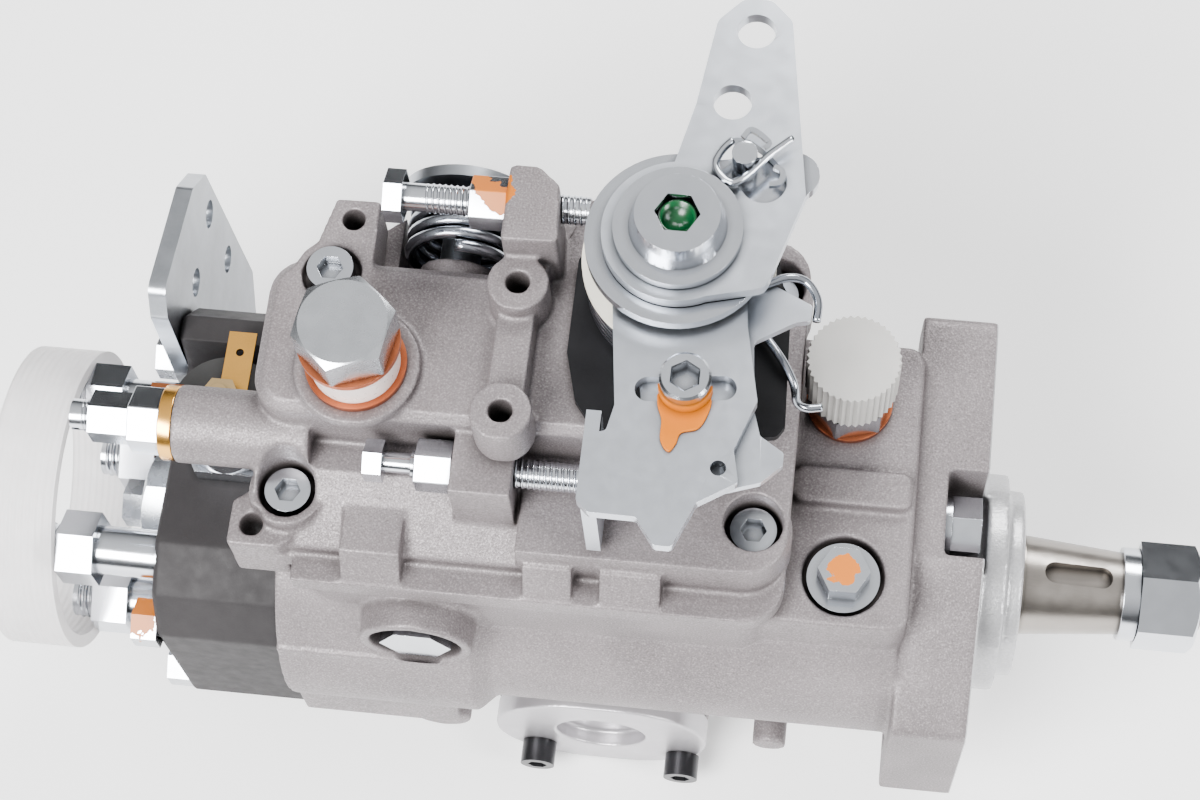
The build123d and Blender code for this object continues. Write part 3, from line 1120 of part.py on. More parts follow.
def stop_lever():
    """The second lever: a cross shaft from the cover's far wall with a round plate and an arm."""
    x, z = STOP_AXIS_XZ
    solid = rod("y", STOP_SHAFT_R, DOME_Y[1] - 10, STOP_DISC_Y + 1, x, z)
    solid += rod("y", STOP_DISC_R, STOP_DISC_Y, STOP_DISC_Y + 2.5, x, z)
    blade = Pos(x, STOP_DISC_Y + 2.5, z) * Rot(90, 0, 0) * arm((0, 0), STOP_ARM, 8, 5, (0, 2.5))
    return solid + blade - Pos(x, 0, z) * rod("y", 3.0, STOP_DISC_Y - 1, STOP_DISC_Y + 4, *STOP_ARM)


def stop_lever_spring():
    start = DOME_Y[1] + 4 + RUN
    return stand(coil(STOP_COIL_R, 2.0, 4, STOP_DISC_Y - RUN - start), "y", start, *STOP_AXIS_XZ)


NODES = [pump_housing, governor_cover, socket_screws, distributor_head, distributor_barrel, head_bolts,
         head_plugs, delivery_valve_holders, valve_ring_cap, stop_solenoid, solenoid_armature,
         solenoid_terminal, full_load_screw, rear_bracket, overflow_bolt, overflow_washers,
         overflow_collar, adjusting_screws, adjusting_locknuts, transport_cap, housing_plugs, timing_cover,
         shaft_bush, shaft_seal, drive_shaft, shaft_washer, shaft_nut, pump_ring, pump_cover_plate,
         vane_rotor, pump_vanes, drive_gear, cross_disc, cam_plate, plunger, spring_yoke, plunger_springs,
         spill_sleeve, roller_ring, cam_rollers, timing_piston, timing_spring, governor_shaft,
         governor_gear, governor_sleeve, governor_lever, governor_spring, speed_lever_shaft,
         speed_lever_plate, throttle_arm, lever_cap, spring_drum, return_spring, shield_plate, stop_lever,
         stop_lever_spring]


def main():
    os.makedirs("parts", exist_ok=True)
    for make in NODES:
        export_step(make(), f"parts/{make.__name__}.step")
    for number in range(1, 5):
        export_step(flyweight(90 * number), f"parts/flyweight_{number}.step")


main()
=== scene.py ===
import math
import bpy
from mathutils import Matrix, Vector


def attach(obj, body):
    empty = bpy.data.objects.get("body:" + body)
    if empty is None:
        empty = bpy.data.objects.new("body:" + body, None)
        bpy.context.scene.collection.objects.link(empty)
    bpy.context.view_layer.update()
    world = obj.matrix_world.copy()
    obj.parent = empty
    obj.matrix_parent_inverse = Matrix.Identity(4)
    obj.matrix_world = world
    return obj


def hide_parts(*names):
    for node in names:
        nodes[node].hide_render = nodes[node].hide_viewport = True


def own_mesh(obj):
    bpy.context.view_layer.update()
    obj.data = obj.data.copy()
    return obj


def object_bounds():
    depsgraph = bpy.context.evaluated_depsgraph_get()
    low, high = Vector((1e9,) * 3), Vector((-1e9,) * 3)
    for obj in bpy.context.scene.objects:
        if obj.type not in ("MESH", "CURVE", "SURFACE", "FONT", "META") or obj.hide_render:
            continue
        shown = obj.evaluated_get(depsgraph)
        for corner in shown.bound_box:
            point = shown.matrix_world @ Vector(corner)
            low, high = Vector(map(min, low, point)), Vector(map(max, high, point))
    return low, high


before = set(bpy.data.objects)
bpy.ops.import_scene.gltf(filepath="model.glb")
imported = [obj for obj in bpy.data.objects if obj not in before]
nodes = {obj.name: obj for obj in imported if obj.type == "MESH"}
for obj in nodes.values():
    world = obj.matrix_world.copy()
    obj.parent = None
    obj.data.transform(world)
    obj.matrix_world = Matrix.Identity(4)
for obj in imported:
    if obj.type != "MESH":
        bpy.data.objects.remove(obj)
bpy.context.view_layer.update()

# Places on the pump, in mm and in the frame of the solid model

MM = 0.001
FLANGE_FRONT = -0.35
LEVER_AXIS = (-70.0, 30.0, 0)
OUTLET_OFFSET = 18.4
SHAFT_AXIS = (0, 0, 0)
IDLE_SCREW_AXIS = (0, -9.5, 69)
MAX_SCREW_AXIS = (0, 42.5, 90)
FULL_LOAD_AXIS = (0, -2, 61)
FULL_LOAD_WASHER_X = (-179.1, -175.9)
FULL_LOAD_WASHER_R = 7.9
STOP_COIL_AXIS = (-119.6, 0, 66)
TIMING_SPRING_AXIS = (-85.5, 0, -46.0)
PLATE_TOP = 102.0
CLAMP_SCREW = (-65.5, -0.7)
CLAMP_HEAD_R = 5.2
CLAMP_HEAD_H = 6.6
FITTING_AXIS = (-32.3, 25)

# Colours

PAINT = (0.54, 0.142, 0.0)
ZINC = (0.62, 0.645, 0.69)
CAST_DARK = (0.146, 0.129, 0.132)
CAST_LIGHT = (0.204, 0.182, 0.186)
CAST_SPARKLE = (0.43, 0.39, 0.395)
CAST_PIT = (0.055, 0.047, 0.043)
# Painted shade deep in the holes and joints of the castings
CAST_PAINTED_SHADE = (0.05, 0.042, 0.041)
TURNED_DARK = (0.40, 0.40, 0.41)
TURNED_LIGHT = (0.50, 0.50, 0.51)
# Painted shade: the share of its own colour that a metal keeps deep in holes and joints
PAINTED_SHADE_SHARE = 0.12


# Materials

class Look:
    """Builds one procedural material, node by node. Sizes are in mm."""

    def __init__(self, name):
        self.material = bpy.data.materials.new(name)
        self.material.use_nodes = True
        self.tree = self.material.node_tree
        self.tree.nodes.clear()
        self.out = self.tree.nodes.new("ShaderNodeOutputMaterial")
        self.shader = self.tree.nodes.new("ShaderNodeBsdfPrincipled")
        self.tree.links.new(self.shader.outputs[0], self.out.inputs[0])
        self.place = self.tree.nodes.new("ShaderNodeTexCoord").outputs["Object"]

    def link(self, source, target):
        self.tree.links.new(source, target)

    def wear(self, output, socket):
        """Leads an output into a socket of the shader."""
        self.link(output, self.shader.inputs[socket])

    def noise(self, size_mm, detail=3.0, stretch=None):
        node = self.tree.nodes.new("ShaderNodeTexNoise")
        node.inputs["Scale"].default_value = 1 / (size_mm * MM)
        node.inputs["Detail"].default_value = detail
        if stretch:
            mapping = self.tree.nodes.new("ShaderNodeMapping")
            mapping.inputs["Scale"].default_value = stretch
            self.link(self.place, mapping.inputs[0])
            self.link(mapping.outputs[0], node.inputs["Vector"])
        else:
            self.link(self.place, node.inputs["Vector"])
        return node.outputs["Fac"]

    def ramp(self, value, low, high, start, end):
        """Maps low to high onto start to end."""
        node = self.tree.nodes.new("ShaderNodeMapRange")
        sockets = ("From Min", "From Max", "To Min", "To Max")
        for key, number in zip(sockets, (low, high, start, end)):
            node.inputs[key].default_value = number
        self.link(value, node.inputs["Value"])
        return node.outputs["Result"]

    def mix(self, factor, first, second):
        """Colour first where factor is 0, and second where it is 1."""
        node = self.tree.nodes.new("ShaderNodeMix")
        node.data_type = "RGBA"
        self.link(factor, node.inputs["Factor"])
        for value, key in ((first, "A"), (second, "B")):
            socket = [s for s in node.inputs if s.name == key and s.type == "RGBA"][0]
            if isinstance(value, tuple):
                socket.default_value = (*value, 1)
            else:
                self.link(value, socket)
        return [s for s in node.outputs if s.type == "RGBA"][0]

    def clouds(self, value, first, second):
        """Mixes two colours softly by a noise."""
        return self.mix(self.ramp(value, 0.3, 0.7, 0, 1), first, second)

    def bump(self, height, depth_mm, strength=1.0, under=None):
        node = self.tree.nodes.new("ShaderNodeBump")
        node.inputs["Distance"].default_value = depth_mm * MM
        node.inputs["Strength"].default_value = strength
        self.link(height, node.inputs["Height"])
        if under:
            self.link(under, node.inputs["Normal"])
        return node.outputs["Normal"]

    def painted_shade(self, reach_mm):
        """Painted shade by ambient occlusion: 1 deep in holes and joints, 0 on open faces."""
        node = self.tree.nodes.new("ShaderNodeAmbientOcclusion")
        node.samples = 8
        node.inputs["Distance"].default_value = reach_mm * MM
        return self.ramp(node.outputs["AO"], 0.85, 0.30, 0, 1)

    def sum_up(self, kind, first, second):
        """One step of arithmetic on outputs or numbers."""
        node = self.tree.nodes.new("ShaderNodeMath")
        node.operation = kind
        for value, socket in ((first, node.inputs[0]), (second, node.inputs[1])):
            if isinstance(value, (int, float)):
                socket.default_value = value
            else:
                self.link(value, socket)
        return node.outputs[0]

    def paint_marks(self, spots):
        """1 inside uneven blobs of paint at (x, y, z, radius), 0 outside."""
        wobble = self.noise(2.2, 2.0)
        total = None
        for x, y, z, radius in spots:
            node = self.tree.nodes.new("ShaderNodeVectorMath")
            node.operation = "DISTANCE"
            self.link(self.place, node.inputs[0])
            node.inputs[1].default_value = (x * MM, y * MM, z * MM)
            reach = self.ramp(wobble, 0.3, 0.7, radius * 0.7 * MM, radius * 1.2 * MM)
            inside = self.sum_up("LESS_THAN", node.outputs["Value"], reach)
            total = inside if total is None else self.sum_up("MAXIMUM", total, inside)
        return total


def metal(name, colour, roughness, metallic=1.0, grain=0.4, depth=0.01, vary=0.12, lines=None,
          spots=None, shine=0.5):
    """A metal or plastic with mottled colour, uneven gloss, a fine grain and painted shade in its
    recesses.
    """
    look = Look(name)
    patches = look.noise(9.0, 4.0)
    fine = look.noise(grain, 3.0, lines)
    dark = tuple(c * (1 - vary) for c in colour)
    light = tuple(min(1.0, c * (1 + vary)) for c in colour)
    shade = look.clouds(patches, dark, light)
    shade = look.mix(look.ramp(fine, 0.35, 0.75, 0, 0.45), shade, light)
    # Painted shade: the colour darkens in holes, creases and joints between parts
    shade = look.mix(look.painted_shade(3.0), shade, tuple(c * PAINTED_SHADE_SHARE for c in colour))
    gloss = look.ramp(look.noise(3.0, 4.0), 0.3, 0.7, roughness * 0.92, min(1.0, roughness * 1.1))
    look.shader.inputs["Specular IOR Level"].default_value = shine
    look.shader.inputs["Metallic"].default_value = metallic
    if spots:
        paint = look.paint_marks(spots)
        shade = look.mix(paint, shade, PAINT)
        gloss = look.mix(paint, gloss, (0.4, 0.4, 0.4))
        look.wear(look.ramp(paint, 0, 1, metallic, 0.0), "Metallic")
    look.wear(shade, "Base Color")
    look.wear(gloss, "Roughness")
    look.wear(look.bump(fine, depth), "Normal")
    return look.material


def casting(name, machined=False, spots=None):
    """Sand-blasted cast alloy: warm grey, fine grain, painted shade in recesses, and turned faces in
    front of the flange.
    """
    look = Look(name)
    grain = look.noise(0.42, 4.0)
    coarse = look.noise(2.4, 3.0)
    broad = look.noise(22.0, 3.0)
    shade = look.clouds(broad, CAST_DARK, CAST_LIGHT)
    shade = look.mix(look.ramp(grain, 0.50, 0.75, 0, 0.5), shade, CAST_SPARKLE)
    shade = look.mix(look.ramp(grain, 0.42, 0.26, 0, 0.5), shade, CAST_PIT)
    # Painted shade: the colour darkens in holes, creases and joints between parts
    shade = look.mix(look.painted_shade(5.0), shade, CAST_PAINTED_SHADE)
    rough = look.ramp(grain, 0.3, 0.7, 0.62, 0.42)
    if spots:
        shade = look.mix(look.paint_marks(spots), shade, PAINT)
    if machined:
        axes = look.tree.nodes.new("ShaderNodeSeparateXYZ")
        look.link(look.place, axes.inputs[0])
        front = look.sum_up("GREATER_THAN", axes.outputs["X"], FLANGE_FRONT * MM)
        shade = look.mix(front, shade, look.clouds(look.noise(0.5, 1.0), TURNED_DARK, TURNED_LIGHT))
        rough = look.mix(front, rough, (0.28, 0.28, 0.28))
    look.wear(shade, "Base Color")
    look.wear(rough, "Roughness")
    look.shader.inputs["Metallic"].default_value = 0.45
    look.wear(look.bump(grain, 0.16, 0.55, look.bump(coarse, 0.25, 0.35)), "Normal")
    return look.material


def milky(name, colour, see_through, ridge_mm=None, rough=0.35):
    """A translucent plastic, with moulded ridges along X if a pitch is given."""
    look = Look(name)
    pale = tuple(min(1.0, c * 1.08) for c in colour)
    look.wear(look.clouds(look.noise(6.0, 3.0), colour, pale), "Base Color")
    look.wear(look.ramp(look.noise(1.5), 0.3, 0.7, rough * 0.8, rough * 1.3), "Roughness")
    look.shader.inputs["Transmission Weight"].default_value = see_through
    look.shader.inputs["IOR"].default_value = 1.3
    if ridge_mm:
        wave = look.tree.nodes.new("ShaderNodeTexWave")
        wave.wave_profile = "SIN"
        wave.inputs["Scale"].default_value = 0.314 / (ridge_mm * MM)
        wave.inputs["Distortion"].default_value = 0.0
        look.link(look.place, wave.inputs["Vector"])
        look.wear(look.bump(wave.outputs["Fac"], 0.25, 0.8), "Normal")
    return look.material


# Paint marks, as blobs at (x, y, z, radius)
COVER_PAINT = [(-107.6, 41.5, 96.6, 2.4), (-107.6, 44.5, 94.5, 2.6)]
NUT_PAINT = [(-108.6, 41.0, 95.4, 3.6), (-111.5, 43.5, 95.0, 3.0), (-113.5, 46.0, 93.5, 2.4)]
DECK_PLUG_PAINT = [(-30.5, -15.5, 44.4, 3.7)]
HEAD_BOLT_PAINT = [(-190.5, -30.5, 9.5, 5.2), (-187.5, -28.5, 7.0, 4.0)]

LOOKS = {
    "cast_housing": casting("cast_housing", machined=True),
    "cast_cover": casting("cast_cover", spots=COVER_PAINT),
    "head": metal("head", (0.021, 0.019, 0.020), 0.62, 0.1, 0.4, 0.04, 0.12, shine=0.3),
    "zinc": metal("zinc", ZINC, 0.17, 1.0, 0.35, 0.003, 0.05),
    "zinc_dull": metal("zinc_dull", (0.56, 0.58, 0.61), 0.27, 1.0, 0.4, 0.005, 0.07,
                       spots=HEAD_BOLT_PAINT),
    "plate_zinc": metal("plate_zinc", (0.60, 0.63, 0.68), 0.30, 1.0, 0.8, 0.004, 0.04),
    "zinc_painted": metal("zinc_painted", ZINC, 0.18, 1.0, 0.35, 0.003, 0.05,
                          spots=NUT_PAINT + DECK_PLUG_PAINT),
    "alloy": metal("alloy", (0.47, 0.455, 0.475), 0.36, 0.75, 0.5, 0.02, 0.06),
    "bracket": metal("bracket", (0.40, 0.42, 0.45), 0.3, 1.0, 0.7, 0.008, 0.12),
    "ground": metal("ground", (0.30, 0.275, 0.25), 0.3, 1.0, 0.3, 0.006, 0.10, (0.15, 1, 1)),
    "steel": metal("steel", (0.46, 0.46, 0.48), 0.32, 1.0, 0.4, 0.006, 0.10),
    "wire": metal("wire", (0.36, 0.38, 0.42), 0.2, 1.0, 0.3, 0.003, 0.08),
    "black_steel": metal("black_steel", (0.02, 0.02, 0.022), 0.3, 0.6, 0.4, 0.01, 0.3),
    "black_plate": metal("black_plate", (0.008, 0.008, 0.009), 0.5, 0.0, 0.5, 0.01, 0.3, shine=0.15),
    "gold": metal("gold", (0.86, 0.45, 0.10), 0.22, 1.0, 0.4, 0.003, 0.08),
    "copper": metal("copper", (0.70, 0.20, 0.085), 0.3, 1.0, 0.4, 0.004, 0.10),
    "strap": metal("strap", (0.36, 0.12, 0.05), 0.3, 1.0, 0.4, 0.004, 0.2),
    "brass": metal("brass", (0.62, 0.44, 0.22), 0.22, 1.0, 0.4, 0.004, 0.10),
    "bronze": metal("bronze", (0.50, 0.36, 0.18), 0.35, 1.0, 0.4, 0.006, 0.10),
    "paint": metal("paint", PAINT, 0.4, 0.0, 0.8, 0.02, 0.05, shine=0.15),
    "green": metal("green", (0.0, 0.07, 0.018), 0.25, 0.0, 0.8, 0.01, 0.4),
    "rubber": metal("rubber", (0.02, 0.02, 0.02), 0.6, 0.0, 0.4, 0.02, 0.3),
    "cap_grey": metal("cap_grey", (0.46, 0.45, 0.43), 0.5, 0.0, 0.5, 0.02, 0.05),
    "cream": milky("cream", (0.78, 0.74, 0.64), 0.1, None, 0.4),
    "collar": milky("collar", (0.86, 0.74, 0.70), 0.25, None, 0.3),
    "ring": milky("ring", (0.86, 0.84, 0.84), 0.45, 1.6),
}

# Nodes that aren't named here are plain steel
NODE_LOOKS = {
    "pump_housing": "cast_housing", "governor_cover": "cast_cover", "timing_cover": "alloy",
    "distributor_head": "head", "head_bolts": "zinc_dull", "head_plugs": "zinc_dull",
    "delivery_valve_holders": "zinc", "valve_ring_cap": "ring", "socket_screws": "zinc",
    "stop_solenoid": "zinc", "solenoid_terminal": "gold", "full_load_screw": "zinc",
    "rear_bracket": "bracket", "overflow_bolt": "zinc_dull", "overflow_washers": "copper",
    "overflow_collar": "collar", "adjusting_screws": "zinc", "adjusting_locknuts": "zinc_painted",
    "transport_cap": "cap_grey", "housing_plugs": "zinc_painted", "shaft_bush": "bronze",
    "shaft_seal": "rubber", "drive_shaft": "ground", "shaft_washer": "zinc", "shaft_nut": "zinc",
    "speed_lever_shaft": "zinc", "speed_lever_plate": "plate_zinc", "throttle_arm": "plate_zinc",
    "lever_cap": "zinc", "spring_drum": "cream", "return_spring": "wire",
    # shield_plate is drawn as a near-black, matt sheet under the speed lever, over the cover
    "shield_plate": "black_plate", "stop_lever": "bracket", "stop_lever_spring": "wire",
    "plunger_springs": "wire", "timing_spring": "wire", "governor_spring": "wire",
}


def dress_nodes():
    for name, thing in nodes.items():
        look = LOOKS[NODE_LOOKS.get(name, "steel")]
        thing.data.materials.clear()
        thing.data.materials.append(look)


def recolour(name, look, chosen):
    """Gives another look to the faces of a node that are chosen by their centre and corners."""
    thing = nodes[name]
    thing.data.materials.append(LOOKS[look])
    index = len(thing.data.materials) - 1
    for polygon in thing.data.polygons:
        corners = [thing.data.vertices[v].co / MM for v in polygon.vertices]
        if chosen(polygon.center / MM, corners):
            polygon.material_index = index


def reach(corners, u, v, first, second):
    """How far the farthest corner lies from an axis through (u, v) on two coordinates."""
    return max(math.hypot(c[first] - u, c[second] - v) for c in corners)


def recolour_nodes():
    """Pieces of one node that differ in colour."""
    recolour("socket_screws", "black_steel", lambda c, corners: c.z < -30)
    low, high = FULL_LOAD_WASHER_X
    recolour("adjusting_locknuts", "gold",
             lambda c, corners: low < c.x < high
             and reach(corners, *FULL_LOAD_AXIS[1:], 1, 2) > FULL_LOAD_WASHER_R)
    recolour("solenoid_terminal", "strap", lambda c, corners: c.x < -175)
    recolour("solenoid_terminal", "brass", lambda c, corners: c.x > -176 and c.y < 13.9 and c.z > 46.1)
    recolour("stop_solenoid", "rubber", lambda c, corners: c.z > 42.6)
    recolour("housing_plugs", "copper",
             lambda c, corners: 39.9 < c.z < 41.6 and 9.4 < reach(corners, *FITTING_AXIS, 0, 1) < 9.8)


# Edges of the solid model

CASTINGS = (("pump_housing", 0.6, 7), ("governor_cover", 0.5, 7), ("distributor_head", 0.6, 3),
            ("timing_cover", 0.4, 3))
MACHINED = ("head_bolts", "delivery_valve_holders", "adjusting_locknuts", "adjusting_screws",
            "rear_bracket", "speed_lever_plate", "throttle_arm", "lever_cap", "housing_plugs",
            "socket_screws", "full_load_screw", "shaft_washer", "speed_lever_shaft", "stop_solenoid")
MACHINED_EDGE = 0.25
SHARP_DEGREES = 35
WELD_GAP = 0.002


def soften(name, voxel_mm, rounds):
    """Rounds the corners of a casting."""
    thing = nodes[name]
    mesher = thing.modifiers.new("cast", "REMESH")
    mesher.mode = "VOXEL"
    mesher.voxel_size = voxel_mm * MM
    mesher.use_smooth_shade = True
    smoother = thing.modifiers.new("round", "SMOOTH")
    smoother.factor = 0.5
    smoother.iterations = rounds


def ease_edges(name):
    """Puts a small bevel on the sharp edges of a machined piece, with clean facets."""
    thing = nodes[name]
    thing.modifiers.new("weld", "WELD").merge_threshold = WELD_GAP * MM
    bevel = thing.modifiers.new("edge", "BEVEL")
    bevel.width = MACHINED_EDGE * MM
    bevel.segments = 2
    bevel.limit_method = "ANGLE"
    bevel.angle_limit = math.radians(SHARP_DEGREES)
    bevel.use_clamp_overlap = True
    bevel.harden_normals = False
    shading = thing.modifiers.new("shading", "WEIGHTED_NORMAL")
    shading.weight = 100
    shading.keep_sharp = False


# Shapes of the added pieces, in mm

def piece(name, vertices, faces, look, body, slot_name, smooth=True):
    mesh = bpy.data.meshes.new(name)
    mesh.from_pydata([tuple(c * MM for c in v) for v in vertices], [], faces)
    mesh.update()
    mesh.materials.append(LOOKS[look])
    if smooth:
        for polygon in mesh.polygons:
            polygon.use_smooth = True
    thing = bpy.data.objects.new(name, mesh)
    bpy.context.scene.collection.objects.link(thing)
    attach(thing, body)
    return thing


AXES = {"x": ((1, 0, 0), (0, 1, 0), (0, 0, 1)), "y": ((0, 1, 0), (0, 0, 1), (1, 0, 0)),
        "z": ((0, 0, 1), (1, 0, 0), (0, 1, 0))}


def place(axis, centre, along, u, v):
    """A point at along on the axis and (u, v) across it; centre is the axis's foot."""
    a, b, c = AXES[axis]
    return tuple(centre[i] + a[i] * along + b[i] * u + c[i] * v for i in range(3))


def on_circle(axis, centre, along, radius, angle):
    return place(axis, centre, along, radius * math.cos(angle), radius * math.sin(angle))


def tube(rows, columns):
    """Faces of a grid of vertices that closes round its columns, with both ends filled."""
    faces = []
    for row in range(rows - 1):
        low, high = row * columns, (row + 1) * columns
        for column in range(columns):
            nxt = (column + 1) % columns
            faces.append((low + column, low + nxt, high + nxt, high + column))
    faces.append(tuple(range(columns))[::-1])
    faces.append(tuple(range((rows - 1) * columns, rows * columns)))
    return faces


def turned(axis, centre, profile, sides):
    """A turned solid from (along, radius) points, closed at both ends."""
    vertices = [on_circle(axis, centre, along, radius, 2 * math.pi * side / sides)
                for along, radius in profile for side in range(sides)]
    return vertices, tube(len(profile), sides)


def thread(centre, start, end, radius, pitch, depth, sides=40, per_pitch=6):
    """A screw thread along X on a cylinder: crest at radius, valley at radius - depth."""
    rows = max(3, int((end - start) / pitch * per_pitch) + 1)
    vertices = []
    for row in range(rows):
        along = start + (end - start) * row / (rows - 1)
        fade = min(1.0, (along - start) / pitch, (end - along) / pitch)
        for side in range(sides):
            phase = ((along - start) / pitch - side / sides) % 1.0
            height = 1 - abs(2 * phase - 1)
            r = radius - depth * (1 - min(1.0, height * 1.15)) - depth * 0.5 * (1 - fade)
            vertices.append(on_circle("x", centre, along, r, 2 * math.pi * side / sides))
    return vertices, tube(rows, sides)


def smooth_path(points, steps=8):
    """A rounded path through points, by Catmull and Rom's rule."""
    pts = [Vector(p) for p in points]
    full = [2 * pts[0] - pts[1]] + pts + [2 * pts[-1] - pts[-2]]
    path = []
    for i in range(1, len(full) - 2):
        p0, p1, p2, p3 = full[i - 1:i + 3]
        for step in range(steps):
            t = step / steps
            path.append(0.5 * ((2 * p1) + (p2 - p0) * t
                               + (2 * p0 - 5 * p1 + 4 * p2 - p3) * t * t
                               + (3 * p1 - p0 - 3 * p2 + p3) * t ** 3))
    path.append(pts[-1])
    return path


def bent_wire(path, radius, sides=12):
    """A round wire along a path, with closed ends."""
    vertices = []
    path = [Vector(p) for p in path]
    ahead = (path[1] - path[0]).normalized()
    side = ahead.orthogonal().normalized()
    for i, point in enumerate(path):
        here = (path[min(i + 1, len(path) - 1)] - path[max(i - 1, 0)]).normalized()
        side = (side - here * side.dot(here)).normalized()
        other = here.cross(side)
        for k in range(sides):
            angle = 2 * math.pi * k / sides
            vertices.append(tuple(point + (side * math.cos(angle) + other * math.sin(angle)) * radius))
    return vertices, tube(len(path), sides)


def helix(axis, centre, radius, start, end, turns, per_turn=36):
    count = int(turns * per_turn)
    return [on_circle(axis, centre, start + (end - start) * i / count, radius,
                      2 * math.pi * i / per_turn) for i in range(count + 1)]


def prism(outline, low, high):
    """An upright solid over an outline of (x, y) points."""
    vertices = [(x, y, z) for z in (low, high) for x, y in outline]
    return vertices, tube(2, len(outline))


# Added pieces

def add_coil(name, node, path, wire):
    coil = piece(name, *bent_wire(path, wire), "wire", "body", "spring_steel")
    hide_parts(node)
    return coil


def add_springs():
    """Round wire in place of the coarse coils of the solid model."""
    add_coil("return_coil", "return_spring", helix("z", LEVER_AXIS, 18.6, 81.5, 92.0, 4.95), 1.0)
    add_coil("stop_coil", "stop_lever_spring", helix("y", STOP_COIL_AXIS, 11.05, 38.3, 51.7, 4.4), 1.42)
    # In the pump the timing spring shortens by 7.1 mm, against its seat in the cover, for the piston's
    # 7 mm; here the coil only gets a mesh of its own.
    near, far, wire = 9.98, 27.76, 0.75
    path = helix("y", TIMING_SPRING_AXIS, 7.0, near + wire, far - wire, 5)
    coil = add_coil("timing_coil", "timing_spring", path, wire)
    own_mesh(coil)


def add_threads():
    """Threads over the plain cylinders of the outlets, the shaft and the screws."""
    number = 0
    for y in (-OUTLET_OFFSET, OUTLET_OFFSET):
        for z in (-OUTLET_OFFSET, OUTLET_OFFSET):
            number += 1
            piece(f"outlet_thread_{number}", *thread((0, y, z), -213.6, -208.7, 5.35, 1.5, 0.5),
                  "zinc", "body", "zinc_steel")
    piece("shaft_thread", *thread(SHAFT_AXIS, 51.05, 51.9, 7.1, 1.5, 0.4),
          "ground", "drive_line", "shaft_steel")
    for name, axis, start, end, radius, pitch, depth in (
            ("idle_thread", IDLE_SCREW_AXIS, -123.0, -85.2, 3.25, 1.25, 0.5),
            ("max_thread", MAX_SCREW_AXIS, -125.5, -90.2, 3.25, 1.25, 0.5),
            ("full_load_thread", FULL_LOAD_AXIS, -197.4, -195.2, 3.55, 0.8, 0.3)):
        piece(name, *thread(axis, start, end, radius, pitch, depth), "zinc", "body", "zinc_steel")


def add_clamp_screw(sides=48):
    """The socket-head screw that clamps the two plates: a wall, a top and a hexagonal hole."""
    x, y = CLAMP_SCREW
    top = PLATE_TOP + CLAMP_HEAD_H
    angles = [2 * math.pi * side / sides for side in range(sides)]
    hexagon = []
    for angle in angles:
        from_flat = (angle + math.pi / 6) % (math.pi / 3) - math.pi / 6
        key = CLAMP_HEAD_R * 0.5 / math.cos(from_flat)
        hexagon.append((key * math.cos(angle), key * math.sin(angle)))
    vertices = []
    for z, radius in ((PLATE_TOP, CLAMP_HEAD_R), (top - 0.5, CLAMP_HEAD_R), (top, CLAMP_HEAD_R - 0.5)):
        vertices += [(x + radius * math.cos(angle), y + radius * math.sin(angle), z)
                     for angle in angles]
    for z, scale in ((top, 1.12), (top - 0.4, 1.0), (top - 3.2, 1.0)):
        vertices += [(x + u * scale, y + v * scale, z) for u, v in hexagon]
    piece("clamp_screw", vertices, tube(6, sides), "zinc", "speed_control", "zinc_steel", smooth=False)


SPRING_TAIL = [(-52.5, 22.5, 82.0), (-47.5, 16, 82.2), (-44.6, 11.5, 80.5), (-43.6, 8.8, 77),
               (-41.5, 8.3, 75.4), (-38.3, 8.9, 75)]
LEVER_HOOK = [(-52.5, 24, 100), (-47.5, 26.3, 99.9), (-43.6, 26.2, 98.8), (-41.0, 22.6, 98.2),
              (-40.9, 18.0, 98)]
PIN_CLIP = [(-48.8, 51.2, 113), (-53.2, 47.2, 112.6), (-57.0, 42.8, 112.2), (-60.0, 40.6, 112),
            (-62.6, 42.0, 112), (-63.9, 44.6, 112), (-62.8, 47.6, 112.2), (-60.9, 50.0, 112.4)]
CLIP_TABS = ([(-58.9, 50.6, 112.6), (-57.2, 52.4, 112.8), (-53.6, 49.9, 112.8), (-54.4, 48.6, 112.6)],
             [(-52.0, 45.0, 111.6), (-50.2, 43.9, 111.8), (-50.6, 41.6, 111.6), (-52.8, 41.0, 111.4)])
SOCKET_FLOOR = [(113.5, 4.0), (113.8, 3.9)]
SOCKET_PLUG = [(113.6, 3.9), (116.2, 3.95), (116.2, 3.3), (113.9, 3.2)]


def add_lever_details():
    """Clamp screw, wire ends, clip and socket plug on the levers."""
    add_clamp_screw()
    for name, points, wire, look, body in (
            ("spring_tail", SPRING_TAIL, 0.9, "wire", "body"),
            ("lever_hook", LEVER_HOOK, 0.9, "wire", "speed_control"),
            ("pin_clip", PIN_CLIP, 0.8, "zinc", "speed_control")):
        piece(name, *bent_wire(smooth_path(points), wire), look, body, "spring_steel")
    for number, points in enumerate(CLIP_TABS, 1):
        piece(f"clip_tab_{number}", *bent_wire(smooth_path(points, 5), 0.75, 4),
              "zinc", "speed_control", "spring_steel", smooth=False)
    for name, profile, sides in (("socket_floor", SOCKET_FLOOR, 24), ("socket_plug", SOCKET_PLUG, 32)):
        piece(name, *turned("z", LEVER_AXIS, profile, sides), "green", "speed_control", "zinc_steel")


PAINT_DRIP = [(-71.0, -2.6), (-70.6, -5.2), (-69.6, -8.0), (-69.4, -12.2), (-67.6, -14.6),
              (-66.2, -12.8), (-65.4, -10.4), (-62.2, -9.2), (-60.6, -6.2), (-60.2, -2.6),
              (-63.0, -1.0), (-68.0, -1.0)]


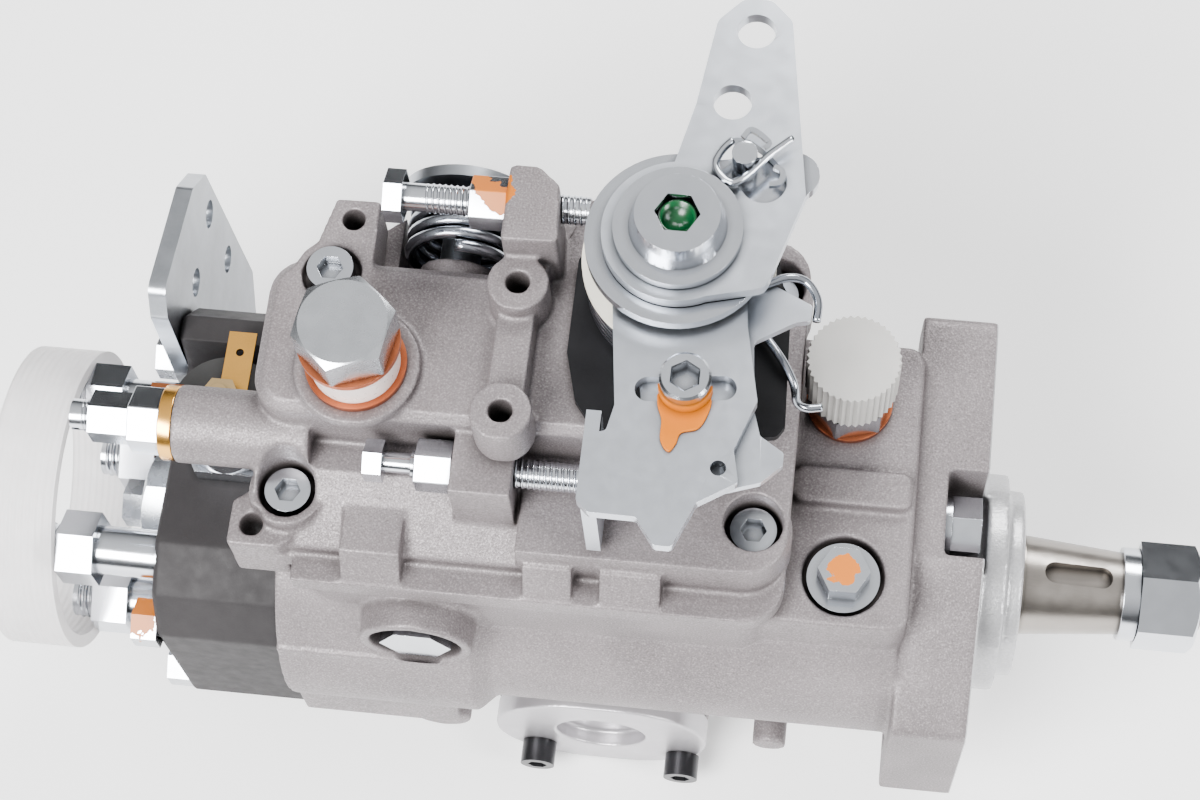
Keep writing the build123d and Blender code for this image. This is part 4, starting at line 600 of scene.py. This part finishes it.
def add_paint():
    """The orange sealing paint round the clamp screw and down the plate."""
    x, y = CLAMP_SCREW
    band = [(5.5, angle) for angle in range(190, 356, 5)]
    band += [(4.7, angle) for angle in range(355, 189, -5)]
    ring = [(x + r * math.cos(math.radians(a)), y + r * math.sin(math.radians(a))) for r, a in band]
    piece("paint_band", *prism(ring, PLATE_TOP, PLATE_TOP + 3.6), "paint", "speed_control",
          "zinc_steel", smooth=False)
    closed = smooth_path([(*p, 0) for p in PAINT_DRIP + PAINT_DRIP[:1]], 6)[:-1]
    outline = [(p.x, p.y) for p in closed]
    thing = piece("paint_drip", *prism(outline, PLATE_TOP - 0.1, PLATE_TOP + 0.7), "paint",
                  "speed_control", "zinc_steel", smooth=False)
    bevel = thing.modifiers.new("edge", "BEVEL")
    bevel.width = 0.35 * MM
    bevel.segments = 2


# The room, in metres

FLOOR_GAP = 0.0005
LIGHTS_AT = (-0.085, 0, 0.03)
LIGHTS = (("key", (-0.45, -0.60, 0.75), 0.5, 31), ("fill", (0.75, -0.35, 0.55), 0.3, 9),
          ("rim", (0.1, 0.8, 0.7), 0.4, 12))
CAMERA_ROUND, CAMERA_UP, CAMERA_ROLL = 12.7, 67.3, -6.75
CAMERA_AT = (-0.0384, -0.1989, 0.5778)
SENSOR_WIDTH = 36.0
LENS = 78.0


def add_floor():
    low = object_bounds()[0]
    bpy.ops.mesh.primitive_plane_add(size=6.0, location=(0, 0, low[2] - FLOOR_GAP))
    floor = bpy.context.object
    floor.name = "floor"
    look = Look("floor_look")
    look.wear(look.clouds(look.noise(400.0), (0.93, 0.93, 0.93), (0.96, 0.96, 0.96)), "Base Color")
    look.shader.inputs["Roughness"].default_value = 0.8
    look.shader.inputs["Emission Color"].default_value = (1, 1, 1, 1)
    look.shader.inputs["Emission Strength"].default_value = 0.22
    floor.data.materials.append(look.material)


def add_sky():
    """Bright overhead and dark towards the horizon, so that bright metal has contrast."""
    world = bpy.data.worlds.new("studio")
    bpy.context.scene.world = world
    world.use_nodes = True
    tree = world.node_tree
    background = tree.nodes["Background"]
    direction = tree.nodes.new("ShaderNodeTexCoord")
    axes = tree.nodes.new("ShaderNodeSeparateXYZ")
    height = tree.nodes.new("ShaderNodeMapRange")
    tree.links.new(direction.outputs["Generated"], axes.inputs[0])
    tree.links.new(axes.outputs["Z"], height.inputs["Value"])
    for key, number in (("From Min", 0.2), ("From Max", 0.95), ("To Min", 0.07), ("To Max", 1.1)):
        height.inputs[key].default_value = number
    tree.links.new(height.outputs["Result"], background.inputs["Strength"])
    background.inputs["Color"].default_value = (1, 1, 1, 1)


def add_lights():
    for name, spot, size, power in LIGHTS:
        lamp = bpy.data.lights.new(name, "AREA")
        lamp.size = size
        lamp.energy = power
        holder = bpy.data.objects.new(name, lamp)
        holder.location = spot
        ahead = Vector(LIGHTS_AT) - Vector(spot)
        holder.rotation_euler = ahead.to_track_quat("-Z", "Y").to_euler()
        bpy.context.scene.collection.objects.link(holder)


def add_camera():
    """The camera of the photo, by its turn round the pump, its height and its roll."""
    a, e, r = (math.radians(angle) for angle in (CAMERA_ROUND, CAMERA_UP, CAMERA_ROLL))
    ahead = Vector((-math.sin(a) * math.cos(e), math.cos(a) * math.cos(e), -math.sin(e)))
    right = Vector((math.cos(a), math.sin(a), 0))
    up = right.cross(ahead)
    across = right * math.cos(r) + up * math.sin(r)
    upright = up * math.cos(r) - right * math.sin(r)
    data = bpy.data.cameras.new("photo_camera")
    data.sensor_width = SENSOR_WIDTH
    data.lens = LENS
    data.clip_start = 0.01
    camera = bpy.data.objects.new("photo_camera", data)
    turn = Matrix((across, upright, -ahead)).transposed().to_4x4()
    camera.matrix_world = Matrix.Translation(CAMERA_AT) @ turn
    bpy.context.scene.collection.objects.link(camera)
    bpy.context.scene.camera = camera


dress_nodes()
recolour_nodes()
for name, voxel_mm, rounds in CASTINGS:
    soften(name, voxel_mm, rounds)
for name in MACHINED:
    ease_edges(name)
add_springs()
add_threads()
add_lever_details()
add_paint()
add_floor()
add_sky()
add_lights()
add_camera()
